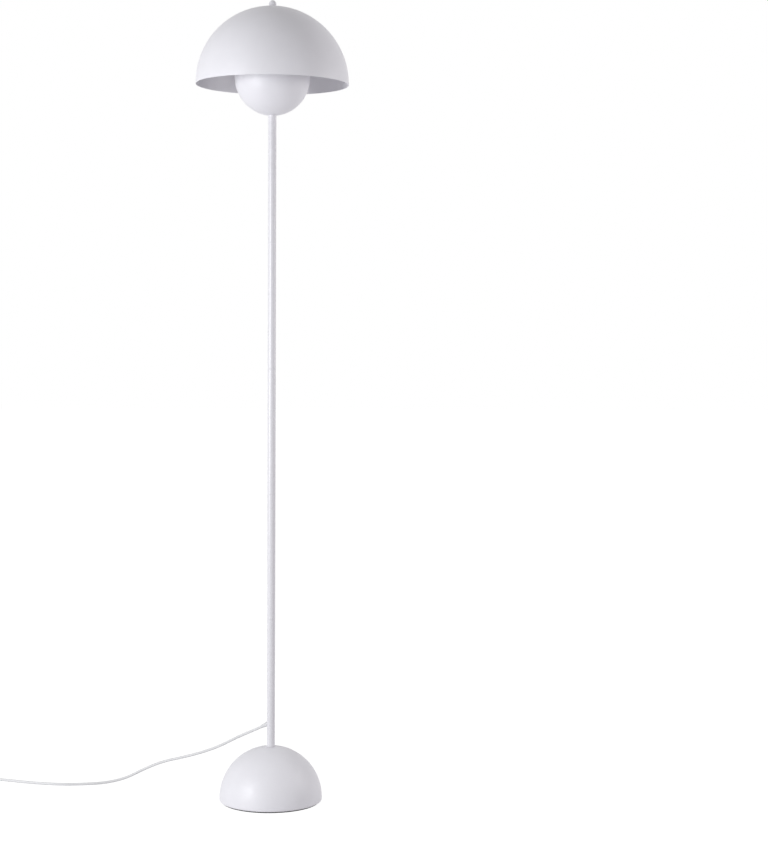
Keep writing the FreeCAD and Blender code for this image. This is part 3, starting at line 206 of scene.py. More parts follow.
def finish(name, light, dark, rough, grain, relief=GRAIN, drift=25.0, **plain):
    """A material, kept in FINISHES under its name. light and dark are the two colours it drifts
    between, rough its lowest and highest roughness, grain the scale and depth in metres of its
    relief. plain sets sockets of the shader that are the same all over."""
    material = bpy.data.materials.new(name)
    material.use_nodes = True
    nodes, links = material.node_tree.nodes, material.node_tree.links
    shader = set_sockets(nodes["Principled BSDF"], **plain)

    def effect(group, output, **values):
        node = nodes.new("ShaderNodeGroup")
        node.node_tree = group
        return set_sockets(node, **values).outputs[output]

    links.new(effect(TINT, "Colour", Colour_A=(*light, 1), Colour_B=(*dark, 1), Scale=drift),
              shader.inputs["Base Color"])
    links.new(effect(MOTTLING, "Value", Low=rough[0], High=rough[1], Scale=drift * 3),
              shader.inputs["Roughness"])
    bump = set_sockets(nodes.new("ShaderNodeBump"), Strength=1.0, Distance=grain[1])
    links.new(effect(relief, "Height", Scale=grain[0]), bump.inputs["Height"])
    links.new(bump.outputs["Normal"], shader.inputs["Normal"])
    FINISHES[name] = material


# %% [markdown]
# ## The finishes themselves
# The shade, bowl, foot and finial carry a satin powder coat: not quite neutral white, with a
# fine orange peel that only shows close up. The pole is a smoother lacquer and catches sharp
# upright highlights. Nothing white is written brighter than 0.85, because real paint isn't, and
# because the shading would be lost.

# %% Paint, metal, rubber and plastic
finish("white_powder_coat", (0.825, 0.815, 0.847), (0.81, 0.80, 0.832), (0.42, 0.49),
       (950.0, 2.2e-5))
finish("white_gloss_tube", (0.755, 0.745, 0.775), (0.745, 0.735, 0.765), (0.26, 0.30),
       (420.0, 0.6e-5))
finish("zinc_steel", (0.62, 0.63, 0.66), (0.50, 0.51, 0.53), (0.28, 0.42), (600.0, 2e-5),
       drift=120.0, Metallic=1.0)
finish("nickel", (0.72, 0.71, 0.69), (0.66, 0.65, 0.63), (0.12, 0.20), (900.0, 6e-6),
       relief=DRAWN, drift=90.0, Metallic=1.0)
finish("cast_weight", (0.09, 0.09, 0.095), (0.05, 0.05, 0.052), (0.6, 0.8), (350.0, 3e-4),
       drift=90.0, Metallic=0.6)
finish("pad_rubber", (0.020, 0.020, 0.022), (0.012, 0.012, 0.013), (0.75, 0.9), (1400.0, 6e-5),
       drift=160.0, Specular_IOR_Level=0.15)
finish("white_pvc", (0.74, 0.74, 0.745), (0.70, 0.70, 0.705), (0.36, 0.46), (1100.0, 1.2e-5),
       drift=60.0)
finish("white_plastic", (0.78, 0.78, 0.775), (0.75, 0.75, 0.745), (0.30, 0.38), (1500.0, 2.5e-5),
       drift=70.0)
finish("holder_plastic", (0.72, 0.71, 0.68), (0.68, 0.67, 0.64), (0.34, 0.42), (1300.0, 2e-5),
       drift=70.0)
finish("brass", (0.72, 0.52, 0.22), (0.62, 0.43, 0.17), (0.20, 0.32), (700.0, 1e-5), drift=150.0,
       Metallic=1.0)
finish("black_glass", (0.012, 0.012, 0.014), (0.02, 0.02, 0.022), (0.10, 0.16), (300.0, 1e-5))
finish("opal_globe", (0.84, 0.84, 0.82), (0.81, 0.81, 0.79), (0.22, 0.27), (500.0, 5e-6),
       Subsurface_Weight=0.3, Subsurface_Scale=0.004)
finish("core_brown", (0.12, 0.05, 0.025), (0.10, 0.04, 0.02), (0.4, 0.5), (1200.0, 1e-5))
finish("core_blue", (0.02, 0.08, 0.35), (0.02, 0.06, 0.30), (0.4, 0.5), (1200.0, 1e-5))
slots = {piece["node"]: piece["material_slot"] for piece in frame["record"]["subparts"]}
print(len(FINISHES), "finishes")

# %% [markdown]
# ## Surfaces from arrays
# A turned piece is one profile of radius and height taken round the axis. The whole grid of
# points is worked out at once: the profile down the rows and the angle along the columns. The
# spin tool of Blender would give the same surface, but a formula can also add threads, ribs and
# slots to the radius.

# %% Closed meshes
def closed_mesh(name, points, quads, fans):
    """One smooth mesh object. quads hold four vertex numbers a face and fans hold three. The
    signed volume is the sum of a . (b x c) / 6 over all triangles a, b, c. Where it comes out
    negative the surface is inside out, so the faces are turned round."""
    triangles = np.concatenate([quads[:, [0, 1, 2]], quads[:, [0, 2, 3]], fans])
    a, b, c = (points[triangles[:, k]] for k in range(3))
    if np.einsum("ij,ij->i", a, np.cross(b, c)).sum() < 0:
        quads, fans = quads[:, ::-1], fans[:, ::-1]
    mesh = bpy.data.meshes.new(name)
    mesh.from_pydata(points.tolist(), [], quads.tolist() + fans.tolist())
    mesh.shade_smooth()
    return placed(name, mesh)


def skin(name, grid, ring=False, ends=()):
    """The surface over a grid of points that closes along its columns. Its rows close too where
    ring is true. Otherwise ends holds the two points that its first and last row fan in to."""
    rows, columns = grid.shape[:2]
    number = np.arange(rows * columns).reshape(rows, columns)
    low = number if ring else number[:-1]
    high = np.roll(number, -1, axis=0) if ring else number[1:]
    quads = np.stack([low, np.roll(low, -1, axis=1), np.roll(high, -1, axis=1), high], -1)
    points, fans = grid.reshape(-1, 3), np.zeros((0, 3), int)
    if not ring:
        first, last = number[0], number[-1]
        tip = np.full(columns, rows * columns)
        fans = np.concatenate([np.stack([np.roll(first, -1), first, tip], -1),
                               np.stack([last, np.roll(last, -1), tip + 1], -1)])
        points = np.concatenate([points, np.asarray(ends, float)])
    return closed_mesh(name, points, quads.reshape(-1, 4), fans)


def set_up(points, origin, axis):
    """Turn points so that their own +Z lies along the axis, then move them to the origin."""
    z = np.asarray(axis, float) / np.linalg.norm(axis)
    x = np.cross((0.0, 0.0, 1.0) if abs(z[2]) < 0.9 else (0.0, 1.0, 0.0), z)
    x /= np.linalg.norm(x)
    return points @ np.array([x, np.cross(z, x), z]) + np.asarray(origin, float)


def turned(name, outline, steps=144, origin=(0, 0, 0), axis=(0, 0, 1), swell=None):
    """A turned piece: outline point (r, z) goes round to (r cos a, r sin a, z) for angles a of
    2 pi j / steps. swell(r, z, a) is added to the radius where the piece isn't plain round. An
    outline that starts on the axis ends on it too and closes in two poles. Any other is the
    section of a ring."""
    outline = np.asarray(outline, float)
    solid = outline[0, 0] < 1e-9
    r, z = (outline[1:-1] if solid else outline).T[..., None]
    a = np.arange(steps) * (2 * math.pi / steps)
    radius = r + (swell(r, z, a) if swell else 0.0) + 0 * a
    grid = np.stack([radius * np.cos(a), radius * np.sin(a), z + 0 * a], -1)
    grid = set_up(grid, origin, axis)
    ends = [set_up(np.array([0.0, 0.0, outline[k, 1]]), origin, axis) for k in (0, -1)]
    return skin(name, grid, ring=not solid, ends=ends)


# %% Outlines
def arc(start, end, radius, count=12):
    """Points on the arc of that radius from start to end. Its centre lies to the left of the
    way, or to the right where the radius is negative."""
    start, end = np.asarray(start, float), np.asarray(end, float)
    way = end - start
    half = np.linalg.norm(way) / 2
    left = np.array([-way[1], way[0]]) / (2 * half)
    centre = (start + end) / 2 + left * math.copysign(math.sqrt(max(radius**2 - half**2, 0)), radius)
    first, last = (math.atan2(*(p - centre)[::-1]) for p in (start, end))
    if radius > 0 and last < first:
        last += 2 * math.pi
    if radius < 0 and last > first:
        last -= 2 * math.pi
    t = np.linspace(first, last, count)
    return centre + abs(radius) * np.stack([np.cos(t), np.sin(t)], -1)


def upright(x, low, high, count):
    """Points straight up from one height to another."""
    return np.column_stack([np.full(count, x), np.linspace(low, high, count)])


def softened(corners, bend=5):
    """An outline through corners (r, z, rounding), closed or from axis to axis. A corner with a
    rounding k becomes the curve (1-t)^2 a + 2t(1-t) corner + t^2 b, where a and b lie k back
    along its two sides, with one more point on each side that holds the shading there."""
    corners = np.asarray(corners, float)
    spot, k = corners[:, :2], corners[:, 2:3]
    back, on = np.roll(spot, 1, axis=0) - spot, np.roll(spot, -1, axis=0) - spot
    back_length = np.linalg.norm(back, axis=1, keepdims=True)
    on_length = np.linalg.norm(on, axis=1, keepdims=True)
    back, on = back / np.maximum(back_length, 1e-12), on / np.maximum(on_length, 1e-12)
    a, b = spot + back * k, spot + on * k
    t = np.linspace(0, 1, bend)[:, None, None]
    curve = (1 - t) ** 2 * a + 2 * t * (1 - t) * spot + t**2 * b
    holds = [spot + way * np.minimum(k * 1.5, length * 0.45)
             for way, length in ((back, back_length), (on, on_length))]
    rows = np.concatenate([holds[:1], curve, holds[1:]]).transpose(1, 0, 2)
    keep = (k[:, 0] > 0)[:, None] | (np.arange(bend + 2) == 0)
    return rows[keep]


def plain(points, rounding=0.0):
    """Outline points as corners with one rounding."""
    points = np.asarray(points, float)
    return np.column_stack([points, np.full(len(points), rounding)])


def dress(piece, nodes, body="stand", finish_name=None):
    """Let a piece stand for engineering nodes: it rides on their body in their finish."""
    name = finish_name or slots[nodes[0]]
    piece.data.materials.clear()
    piece.data.materials.append(FINISHES[name])
    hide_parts(*nodes)
    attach(piece, body)
    print(piece.name, "is", name, "on", body, "for", ", ".join(nodes))
    return piece


# %% [markdown]
# ## The cords
# One round two core lead comes out of the pole low down through a strain relief, sinks to the
# floor behind and to the left, and runs out of the picture. The rest is a guess that keeps the
# lead whole: a foot switch just out of view, the spare length wound into a neat coil as it is
# for storage, and a flat plug. Each stretch is a NURBS curve, which bends as a lead does, and
# its control points are the ones that the engineering model's tubes turn at.

# %% Where the cords run
# Numbers here are millimetres. LYING is the height of the middle of a cord on the floor.
cord_half, LYING = 2.7, 2.8
cord_radius = cord_half * MM
pole_radius, collar_radius, relief_length, wall_gap = 8.0, 4.8, 20.0, 0.2
exit_bearing, exit_droop = math.radians(132.0), math.radians(25.0)
exit_way = np.array([math.cos(exit_droop) * math.cos(exit_bearing),
                     math.cos(exit_droop) * math.sin(exit_bearing), -math.sin(exit_droop)])
exit_height = 158.0
relief_reach = (pole_radius / math.cos(exit_droop) + collar_radius * math.tan(exit_droop)
                + wall_gap + relief_length)
relief_tip = np.array([0, 0, exit_height]) + exit_way * relief_reach

switch_spot = np.array([-691.0, 203.0, 0.0])
switch_reach, switch_axis = 51.3, 8.0
switch_inlet = switch_spot + (switch_reach, 0, switch_axis)
switch_outlet = switch_spot + (-switch_reach, 0, switch_axis)
plug_back, plug_axis = np.array([-674.0, 278.0, 0.0]), 6.85
plug_relief_tip = plug_back + (-relief_length, 0, plug_axis)

run_route = np.array([
    relief_tip, relief_tip + exit_way * 24, (-68, 63, 115), (-102, 84, 93), (-141, 104, 75),
    (-182, 122, 61), (-223, 139, 49), (-262, 150, 31), (-300, 154, 11), (-341, 150, LYING + 0.3),
    (-382, 142, LYING), (-424, 140.5, LYING), (-465, 149, LYING), (-505, 163, LYING),
    (-544, 181, LYING), (-580, 196, LYING), (-603, 202, LYING + 1.8),
    switch_inlet + (14, 0, 0), switch_inlet])

# %% The coil of put away cord
# The climb to the second layer takes half a turn and draws in by half a millimetre.
coil_inner, coil_step, coil_layer, coil_turns = 23.7, 6.7, 5.9, 2
coil_climb, coil_dip = 0.5, 0.5
coil_outer = coil_inner + coil_step * coil_turns
coil_centre = np.array([-795.0, switch_spot[1] + coil_outer, cord_half])


def coil_points(turn):
    """Points of the coil after so many turns: two turns inwards on the floor, half a turn that
    climbs one layer, and two outwards on top, clockwise from -Y as seen from above."""
    angle = -math.pi / 2 - 2 * math.pi * turn
    lift = np.clip((turn - coil_turns) / coil_climb, 0, 1)
    radius = np.where(turn <= coil_turns, coil_inner + coil_step * (coil_turns - turn),
                      coil_inner + coil_step * np.maximum(turn - coil_turns - coil_climb, 0))
    radius = radius - coil_dip * np.sin(math.pi * lift)
    height = coil_layer * (1 - np.cos(math.pi * lift)) / 2
    return coil_centre + np.stack([radius * np.cos(angle), radius * np.sin(angle), height], -1)


turns = np.arange(0, 2 * coil_turns + coil_climb + 1e-6, 1 / 16)
coil_route = coil_points(turns)
coil_start, coil_end = coil_route[0], coil_route[-1]
lead_route = np.array([switch_outlet, switch_outlet + (-9, 0, 0), (-768, 203.6, LYING + 1.8),
                       coil_start + (13.8, 0, 0), coil_start + (5.4, 0, 0)])
tail_route = np.array([coil_end + (5.4, 0, 0), coil_end + (14.4, 0, 0),
                       (-762, 278.6, LYING + 2.8), (-742, 279.2, LYING + 0.2),
                       (-722, 278.8, LYING + 1.4), plug_relief_tip + (-10, 0, 0), plug_relief_tip])
spare_route = np.concatenate([lead_route, coil_route, tail_route])


def cord_curve(name, route, radius):
    """A round cord on one NURBS spline. Its order is set after its points are added."""
    curve = bpy.data.curves.new(name, "CURVE")
    curve.dimensions = "3D"
    curve.bevel_depth, curve.bevel_resolution, curve.use_fill_caps = radius, 5, True
    spline = curve.splines.new("NURBS")
    spline.points.add(len(route) - 1)
    spline.points.foreach_set("co", np.column_stack([route * MM, np.ones(len(route))]).ravel())
    spline.order_u, spline.use_endpoint_u, spline.resolution_u = 3, True, 8
    return placed(name, curve)


run_cord = dress(cord_curve("cord_to_switch", run_route, cord_radius), ["cord_run"])
spare_cord = dress(cord_curve("cord_to_plug", spare_route, cord_radius),
                   ["cord_lead", "cord_coil", "cord_tail"])


def drawn_length(piece):
    """Length of a curve's own line, measured on the points that Blender makes of it."""
    bare = piece.copy()
    bare.data = piece.data.copy()
    bare.data.bevel_depth = 0.0
    line = bpy.data.meshes.new_from_object(bare)
    points = np.empty(len(line.vertices) * 3)
    line.vertices.foreach_get("co", points)
    length = np.linalg.norm(np.diff(points.reshape(-1, 3), axis=0), axis=1).sum()
    bpy.data.meshes.remove(line)
    bpy.data.curves.remove(bare.data)
    return float(length)


run_length, spare_length = drawn_length(run_cord), drawn_length(spare_cord)
print(f"cord to the switch {run_length:.3f} m, cord to the plug {spare_length:.3f} m")

# %% [markdown]
# ## Strain reliefs
# A moulded relief is a taper with alternating slots, so that the lead bends in a wide curve
# where it leaves the housing. The slots lie in every second band and stop at two bridges, which
# turn a quarter from band to band. That is a radius that depends on height and angle, so it
# goes in as a swell.

# %% Strain reliefs
flange_radius, flange_thickness, neck_radius, collar_length = 5.0, 1.0, 4.1, 2.4
slot_bands, slot_depth = 7, 0.62


def relief(name, flange_low, neck_end, tip, origin, axis):
    """Flange behind the wall, neck through it, collar and slotted taper outside."""
    low, flange_high = neck_end + collar_length, flange_low + flange_thickness
    pitch = (tip - low) / slot_bands
    heights = np.linspace(low, tip - 0.4, 71)
    taper = 4.4 - 1.2 * (heights - low) / (tip - low)
    outline = np.concatenate([
        plain([(0, flange_low)]),
        plain([(flange_radius, flange_low), (flange_radius, flange_high)], 0.15),
        plain([(neck_radius, flange_high), (neck_radius, neck_end)]),
        plain([(collar_radius, neck_end), (collar_radius, low)], 0.3),
        plain(np.column_stack([taper, heights])),
        plain([(2.95, tip), (0, tip)])])

    def slots_in(r, z, a):
        """A cut into every second band, down to nothing at its edges and its two bridges."""
        band = (z / MM - low) / pitch
        inside = (band > 1) & (band < slot_bands) & (np.floor(band) % 2 == 1)
        edge = np.clip(0.5 - np.abs(band - np.floor(band) - 0.5), 0, 0.16) / 0.16
        quarter = np.where(np.floor(band) % 4 == 1, 0.0, math.pi / 2)
        bridge = np.clip((np.abs(np.sin(a - quarter)) - 0.32) / 0.14, 0, 1)
        return -slot_depth * MM * inside * edge * bridge

    return turned(name, softened(outline * (MM, MM, MM)), 72, np.asarray(origin) * MM, axis,
                  slots_in)


def flange_seat(bore):
    """Inner face of a flange whose rim meets a round bore: sqrt(bore^2 - flange radius^2), less
    the flange's thickness."""
    return math.sqrt(bore**2 - flange_radius**2) - flange_thickness


pole_flange, switch_flange = flange_seat(6.7), flange_seat(28.9)
dress(relief("pole_strain_relief", pole_flange, relief_reach - relief_length, relief_reach,
             (0, 0, exit_height), exit_way), ["cord_strain_relief"])
for side, way in (("inlet", 1), ("outlet", -1)):
    dress(relief(f"switch_{side}_boot", switch_flange, switch_reach - relief_length, switch_reach,
                 switch_spot + (0, 0, switch_axis), (way, 0, 0)), [f"switch_{side}_relief"])

# %% [markdown]
# ## The plug
# A flat two pin plug is a soft edged body that narrows to the lead. Each cross section is a
# superellipse, |y/w|^n + |z/t|^n = 1, which goes from a rounded box at the pins to a round neck
# by changing w, t and n along the way.

# %% The plug
plug_length, plug_rounding = 36, 2.3
pin_radius, pin_waist, pin_length, sleeve_length, pin_offset = 2.0, 1.9, 19, 9.8, 9.3


def plug_surface():
    """Rows at x along the plug, columns at the angle a: y = w |cos a|^(2/n), z = t |sin a|^(2/n),
    each with the sign of its cosine or sine."""
    x = np.concatenate([np.linspace(0, 2.5, 8), np.linspace(3.5, 32, 28),
                        np.linspace(33, plug_length, 10)])
    shape_at = [0, 5, 11, 21.6, plug_length]
    wide = np.interp(x, shape_at, [7.0, 7.3, 8.2, 12.7, 12.9])
    wide = np.convolve(np.pad(wide, 2, mode="edge"), np.ones(5) / 5, mode="valid")
    thick = np.interp(x, [0, 8, 20, plug_length], [5.9, 6.5, 6.85, 6.85])
    power = np.interp(x, [0, 20, plug_length], [2.6, 4.0, 5.0])
    into_end = np.maximum(plug_rounding - np.minimum(x, plug_length - x), 0)
    shrink = plug_rounding - np.sqrt(np.maximum(plug_rounding**2 - into_end**2, 0))
    a = np.arange(96) * (2 * math.pi / 96)
    wide, thick = (wide - shrink)[:, None], (thick - shrink)[:, None]
    y = wide * np.sign(np.cos(a)) * np.abs(np.cos(a)) ** (2 / power[:, None])
    z = thick * np.sign(np.sin(a)) * np.abs(np.sin(a)) ** (2 / power[:, None])
    return np.stack([x[:, None] + 0 * a, y, z], -1)


body_grid = (plug_surface() + plug_back + (0, 0, plug_axis)) * MM
plug_ends = [(plug_back + (x, 0, plug_axis)) * MM for x in (0, plug_length)]
dress(skin("plug_moulding", body_grid, ends=plug_ends), ["plug_body"])

boot = np.concatenate([plain([(0, 0), (3.2, 0.0)]), plain([(3.7, 3.2), (3.7, 6.4)], 0.4),
                       plain([(4.2, 8.2), (4.2, 13.0)], 0.4), plain([(4.7, 14.6), (4.7, 20)], 0.4),
                       plain([(0, 20)])]) * MM
boot[1, 2] = 0.3 * MM  # the thin end is rounded too
dress(turned("plug_boot", softened(boot), 64, plug_relief_tip * MM, (1, 0, 0)),
      ["plug_strain_relief"])

pin_outline = softened(np.concatenate([
    plain([(0, 0), (pin_waist, 0)]), plain([(pin_waist, 10.0), (pin_radius, 10.2)], 0.1),
    plain([(pin_radius, pin_length)], 1.3), plain([(0, pin_length)])]) * MM)
sleeve_outline = softened(plain([(pin_waist, 0), (pin_radius, 0), (pin_radius, sleeve_length),
                                 (pin_waist, sleeve_length)], 0.02) * MM)
plug_pins, plug_sleeves = [], []
for side, way in (("front", -1), ("back", 1)):
    spot = (plug_back + (plug_length, pin_offset * way, plug_axis)) * MM
    plug_pins.append(turned(f"plug_pin_{side}", pin_outline, 40, spot, (1, 0, 0)))
    plug_sleeves.append(turned(f"plug_pin_sleeve_{side}", sleeve_outline, 40, spot, (1, 0, 0)))
for pin in plug_pins:
    dress(pin, ["plug_pins"])
for sleeve in plug_sleeves:
    sleeve.data.materials.append(FINISHES["white_plastic"])
    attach(sleeve, "stand")

# %% [markdown]
# ## The foot switch
# Two moulded halves close on a contact block, and a wide button stands through the cover on a
# spring. The spring is one wire along a helix.

# %% The foot switch
def at_switch(name, outline):
    """A turned piece on the upright axis of the switch."""
    return turned(name, outline, 120, switch_spot * MM)


base_outline = np.concatenate([
    plain([(0, 0)]), plain([(31, 0)], 1.5), plain([(31, 7.9)], 0.25), plain([(29, 7.9)], 0.2),
    plain([(29, 2)], 0.8), plain([(0, 2)])]) * MM
dress(at_switch("switch_lower_half", softened(base_outline)), ["switch_base"])

cover_outline = np.concatenate([
    plain([(31, 8.1)], 0.25), plain(arc((31, 12), (21.0, 21.5), 12.0, 16)),
    plain([(17.8, 21.5)], 0.5), plain([(17.8, 19.5)], 0.2), plain([(20.4, 19.5)]),
    plain(arc((20.4, 19.5), (29, 12), -10.5, 10)[1:]), plain([(29, 8.1)], 0.2)]) * MM
dress(at_switch("switch_upper_half", softened(cover_outline)), ["switch_cover"])

crown, crown_radius, crown_edge = 26.5, 150, 15.3
button_side, button_round = 17.5, 2.2
shoulder = crown - (crown_radius - math.sqrt(crown_radius**2 - crown_edge**2))
crown_spots = np.linspace(14, 1, 14)
crown_heights = crown - crown_radius + np.sqrt(crown_radius**2 - crown_spots**2)
button_outline = np.concatenate([
    plain([(0, 12.3), (3.5, 12.3), (3.5, 23.3), (15.6, 23.3), (15.6, 17.4)]),
    plain([(19.2, 17.4), (19.2, 19.2), (button_side, 19.2)]),
    plain(arc((button_side, shoulder - button_round), (crown_edge, shoulder), button_round, 8)),
    plain(np.column_stack([crown_spots, crown_heights])), plain([(0, crown)])]) * MM
dress(at_switch("foot_button_top", softened(button_outline)), ["switch_button"], "foot_button")


def spring_surface(radius, wire, low, high, coils, sides=14):
    """A wire on the helix (R cos s, R sin s, h(s)). h(s) lies flat for the first and last half
    turn and climbs evenly between. The circle across the path is r (n cos b + m sin b), where n
    points out from the axis and m is the path's way crossed with n."""
    s = np.linspace(0, 2 * math.pi * coils, coils * 40)
    share = np.clip((s / (2 * math.pi) - 0.5) / (coils - 1), 0, 1)
    share = share * share * (3 - 2 * share) * 0.25 + share * 0.75
    path = np.stack([radius * np.cos(s), radius * np.sin(s), low + (high - low) * share], -1)
    way = np.gradient(path, axis=0)
    way /= np.linalg.norm(way, axis=1, keepdims=True)
    out = np.stack([np.cos(s), np.sin(s), 0 * s], -1)
    across = np.cross(way, out)
    b = np.arange(sides) * (2 * math.pi / sides)
    circle = out[:, None] * np.cos(b)[:, None] + across[:, None] * np.sin(b)[:, None]
    return path[:, None] + wire * circle, path[0], path[-1]


spring_grid, first, last = spring_surface(6.0, 0.5, 8.85, 22.75, 5)
button_spring = skin("button_spring", (spring_grid + switch_spot) * MM,
                     ends=[(end + switch_spot) * MM for end in (first, last)])
dress(button_spring, ["switch_spring"])
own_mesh(button_spring)

# %% [markdown]
# ## The foot
# The foot is spun from sheet: a half ball whose lower edge is rolled under, standing on a dark
# pad that is a little smaller. Seen from the front the pad is only a thin dark line.

# %% The foot
stud_hole, crown_flat = 5.05 * MM, 11 * MM
pad_high = node_box("foot_pad")[1]
pad_radius, pad_top = pad_high[0], pad_high[2]
pad = np.concatenate([plain([(0, 0)]), plain([(pad_radius, 0), (pad_radius, pad_top)], 0.5 * MM),
                      plain([(0, pad_top)])])
dress(turned("foot_pad_disc", softened(pad), 192), ["foot_pad"])

shell_low, shell_high = node_box("foot_shell")
foot_radius, crown_height = shell_high[0], shell_high[2]
foot_middle, foot_wall, lip = 8.0 * MM, 1.5 * MM, 3.0 * MM
inner_radius = foot_radius - foot_wall
under_crown = crown_height - foot_wall
inner_flat = math.sqrt(inner_radius**2 - (under_crown - foot_middle) ** 2)
foot_floor = shell_low[2]
foot = np.concatenate([
    plain([(stud_hole, under_crown), (inner_flat, under_crown)]),
    plain(arc((inner_flat, under_crown), (inner_radius, foot_middle), -inner_radius, 48)[1:]),
    plain(arc((inner_radius, foot_floor + lip), (foot_radius - lip, foot_floor + foot_wall),
              -(lip - foot_wall), 6)),
    plain(arc((foot_radius - lip, foot_floor), (foot_radius, foot_floor + lip), lip, 12)),
    plain(arc((foot_radius, foot_middle), (crown_flat, crown_height), foot_radius, 64)[:-1]),
    plain([(crown_flat, crown_height)], 0.8 * MM), plain([(stud_hole, crown_height)])])
dress(turned("foot_dome", softened(foot), 256), ["foot_shell"])

# %% [markdown]
# ## The pole
# Five lengths of tube screw together on hollow studs. The ends are only slightly broken, so a
# joint shows as a hairline: two rounded edges that meet.

# %% The pole
tube_outside, tube_bore, tube_edge = pole_radius * MM, 6.8 * MM, 0.65 * MM
for number in range(1, 6):
    node = f"pole_section_{number}"
    low, high = node_box(node)
    tube = plain([(tube_bore, low[2]), (tube_outside, low[2]), (tube_outside, high[2]),
                  (tube_bore, high[2])])
    tube[1:3, 2] = tube_edge
    dress(turned(f"pole_length_{number}", softened(tube), 96), [node])

# %% [markdown]
# ## The shade and the bowl
# Both are domes of one radius with a short straight skirt. The rim is rounded over, by nearly
# half the wall on each side.

# %% The shade and the bowl
def dome_shell(name, node, wall, skirt, flat, hole, body="stand", upwards=True, steps=256):
    """Half ball of even wall with a rounded rim. A bowl is the same outline upside down."""
    low, high = node_box(node)
    radius, depth = high[0], high[2] - low[2]
    middle, inner = skirt, radius - wall
    under = depth - wall
    inner_flat = math.sqrt(inner**2 - (under - middle) ** 2)
    outline = np.concatenate([
        plain([(hole, under), (inner_flat, under)]),
        plain(arc((inner_flat, under), (inner, middle), -inner, 64)[1:]),
        plain([(inner, 0), (radius, 0)], wall * 0.46),
        plain(arc((radius, middle), (flat, depth), radius, 72)[:-1]),
        plain([(flat, depth)], 0.6 * MM), plain([(hole, depth)], 0.1 * MM)])
    shape = softened(outline)
    if upwards:
        shape[:, 1] = low[2] + shape[:, 1]
    else:
        shape[:, 1] = high[2] - shape[:, 1]
    return dress(turned(name, shape, steps), [node], body)


finial_hole = 3.3 * MM
dome_shell("shade_dome", "outer_shade", wall=1.2 * MM, skirt=2 * MM, flat=12 * MM,
           hole=finial_hole, body="shade")
dome_shell("lower_bowl_dome", "lower_bowl", wall=1.0 * MM, skirt=4 * MM, flat=10 * MM,
           hole=stud_hole, upwards=False)

# %% [markdown]
# ## The finial
# A blind knob nut holds the shade on the harp's stud, over a thin washer. Its top is a half
# ball and its waist draws in slightly.

# %% The finial
washer_low, washer_high = node_box("finial_washer")
washer_edge = washer_high[0]
washer = plain([(finial_hole, washer_low[2]), (washer_edge, washer_low[2]),
                (washer_edge, washer_high[2]), (finial_hole, washer_high[2])], 0.15 * MM)
dress(turned("finial_washer_ring", softened(washer), 72), ["finial_washer"], "shade")

knob_low, knob_high = node_box("finial_ball")
ball = knob_high[0]
knob_floor, waist = knob_low[2], knob_high[2] - ball
stud_top = node_box("harp_seat")[1][2]
bore_end, knob_bore = stud_top + 0.5 * MM, 3.05 * MM
knob = np.concatenate([
    plain([(0, bore_end), (knob_bore, bore_end), (knob_bore, knob_floor)]),
    plain([(6.7 * MM, knob_floor)], 0.35 * MM),
    plain(arc((6.76 * MM, knob_floor + 1 * MM), (ball, waist), 19.1 * MM, 8)[:-1]),
    plain(arc((ball, waist), (0.0, waist + ball), ball, 28))])
dress(turned("finial_knob", softened(knob), 96), ["finial_ball"], "finial")

# %% [markdown]
# ## The harp
# One nickel plated wire stands in two ferrules, swings out round the bulb and closes in a half
# circle, with a threaded disc on top. The path lies in one plane, so the circle across it needs
# no twisting frame.

# %% The harp
harp_low, harp_high = node_box("harp")
foot_x, leg_x, wire_radius = 27.0, 42.0, 2.0
bend_low, bend_high = 12.0, 42.0
bend_middle = ((foot_x + leg_x) / 2, (bend_low + bend_high) / 2)
top = (harp_high[2] - harp_low[2]) / MM - wire_radius
swing = ((leg_x - foot_x) ** 2 + (bend_high - bend_low) ** 2) / (4 * (leg_x - foot_x))
shoulder_height = top - leg_x
right_half = np.concatenate([
    upright(foot_x, 0, 11.5, 6),
    arc((foot_x, bend_low), bend_middle, -swing, 12),
    arc(bend_middle, (leg_x, bend_high), swing, 12)[1:],
    upright(leg_x, 48, shoulder_height - 2, 12),
    arc((leg_x, shoulder_height), (0, top), leg_x, 40)])
path = np.concatenate([right_half, (right_half * (-1, 1))[-2::-1]])


def flat_wire(name, path, radius, sides=32):
    """A round wire along a path in the XZ plane: each point p gets the circle
    p + r (n cos b + y sin b), where n is the path's normal in the plane and y is +Y."""
    way = np.gradient(path, axis=0)
    way /= np.linalg.norm(way, axis=1, keepdims=True)
    centre = np.stack([path[:, 0], 0 * path[:, 0], path[:, 1]], -1)
    normal = np.stack([-way[:, 1], 0 * way[:, 0], way[:, 0]], -1)
    b = np.arange(sides) * (2 * math.pi / sides)
    circle = normal[:, None] * np.cos(b)[:, None] + np.array([0, 1, 0]) * np.sin(b)[:, None]
    return skin(name, centre[:, None] + radius * circle, ends=[centre[0], centre[-1]])


lifted = path * MM + (0, harp_low[2])
dress(flat_wire("harp_wire", lifted, wire_radius * MM), ["harp"])

ferrule_low, ferrule_high = node_box("harp_ferrules")
low, high = ferrule_low[2], ferrule_high[2]
for side, way in (("left", -1), ("right", 1)):
    section = plain([(2.15 * MM, low), (4 * MM, low), (4 * MM, low + 3 * MM),
                     (3.5 * MM, low + 4 * MM), (3.5 * MM, high - 4 * MM),
                     (4 * MM, high - 3 * MM), (4 * MM, high), (2.15 * MM, high)], 0.3 * MM)
    dress(turned(f"harp_ferrule_{side}", softened(section), 56, (way * foot_x * MM, 0, 0)),
          ["harp_ferrules"])


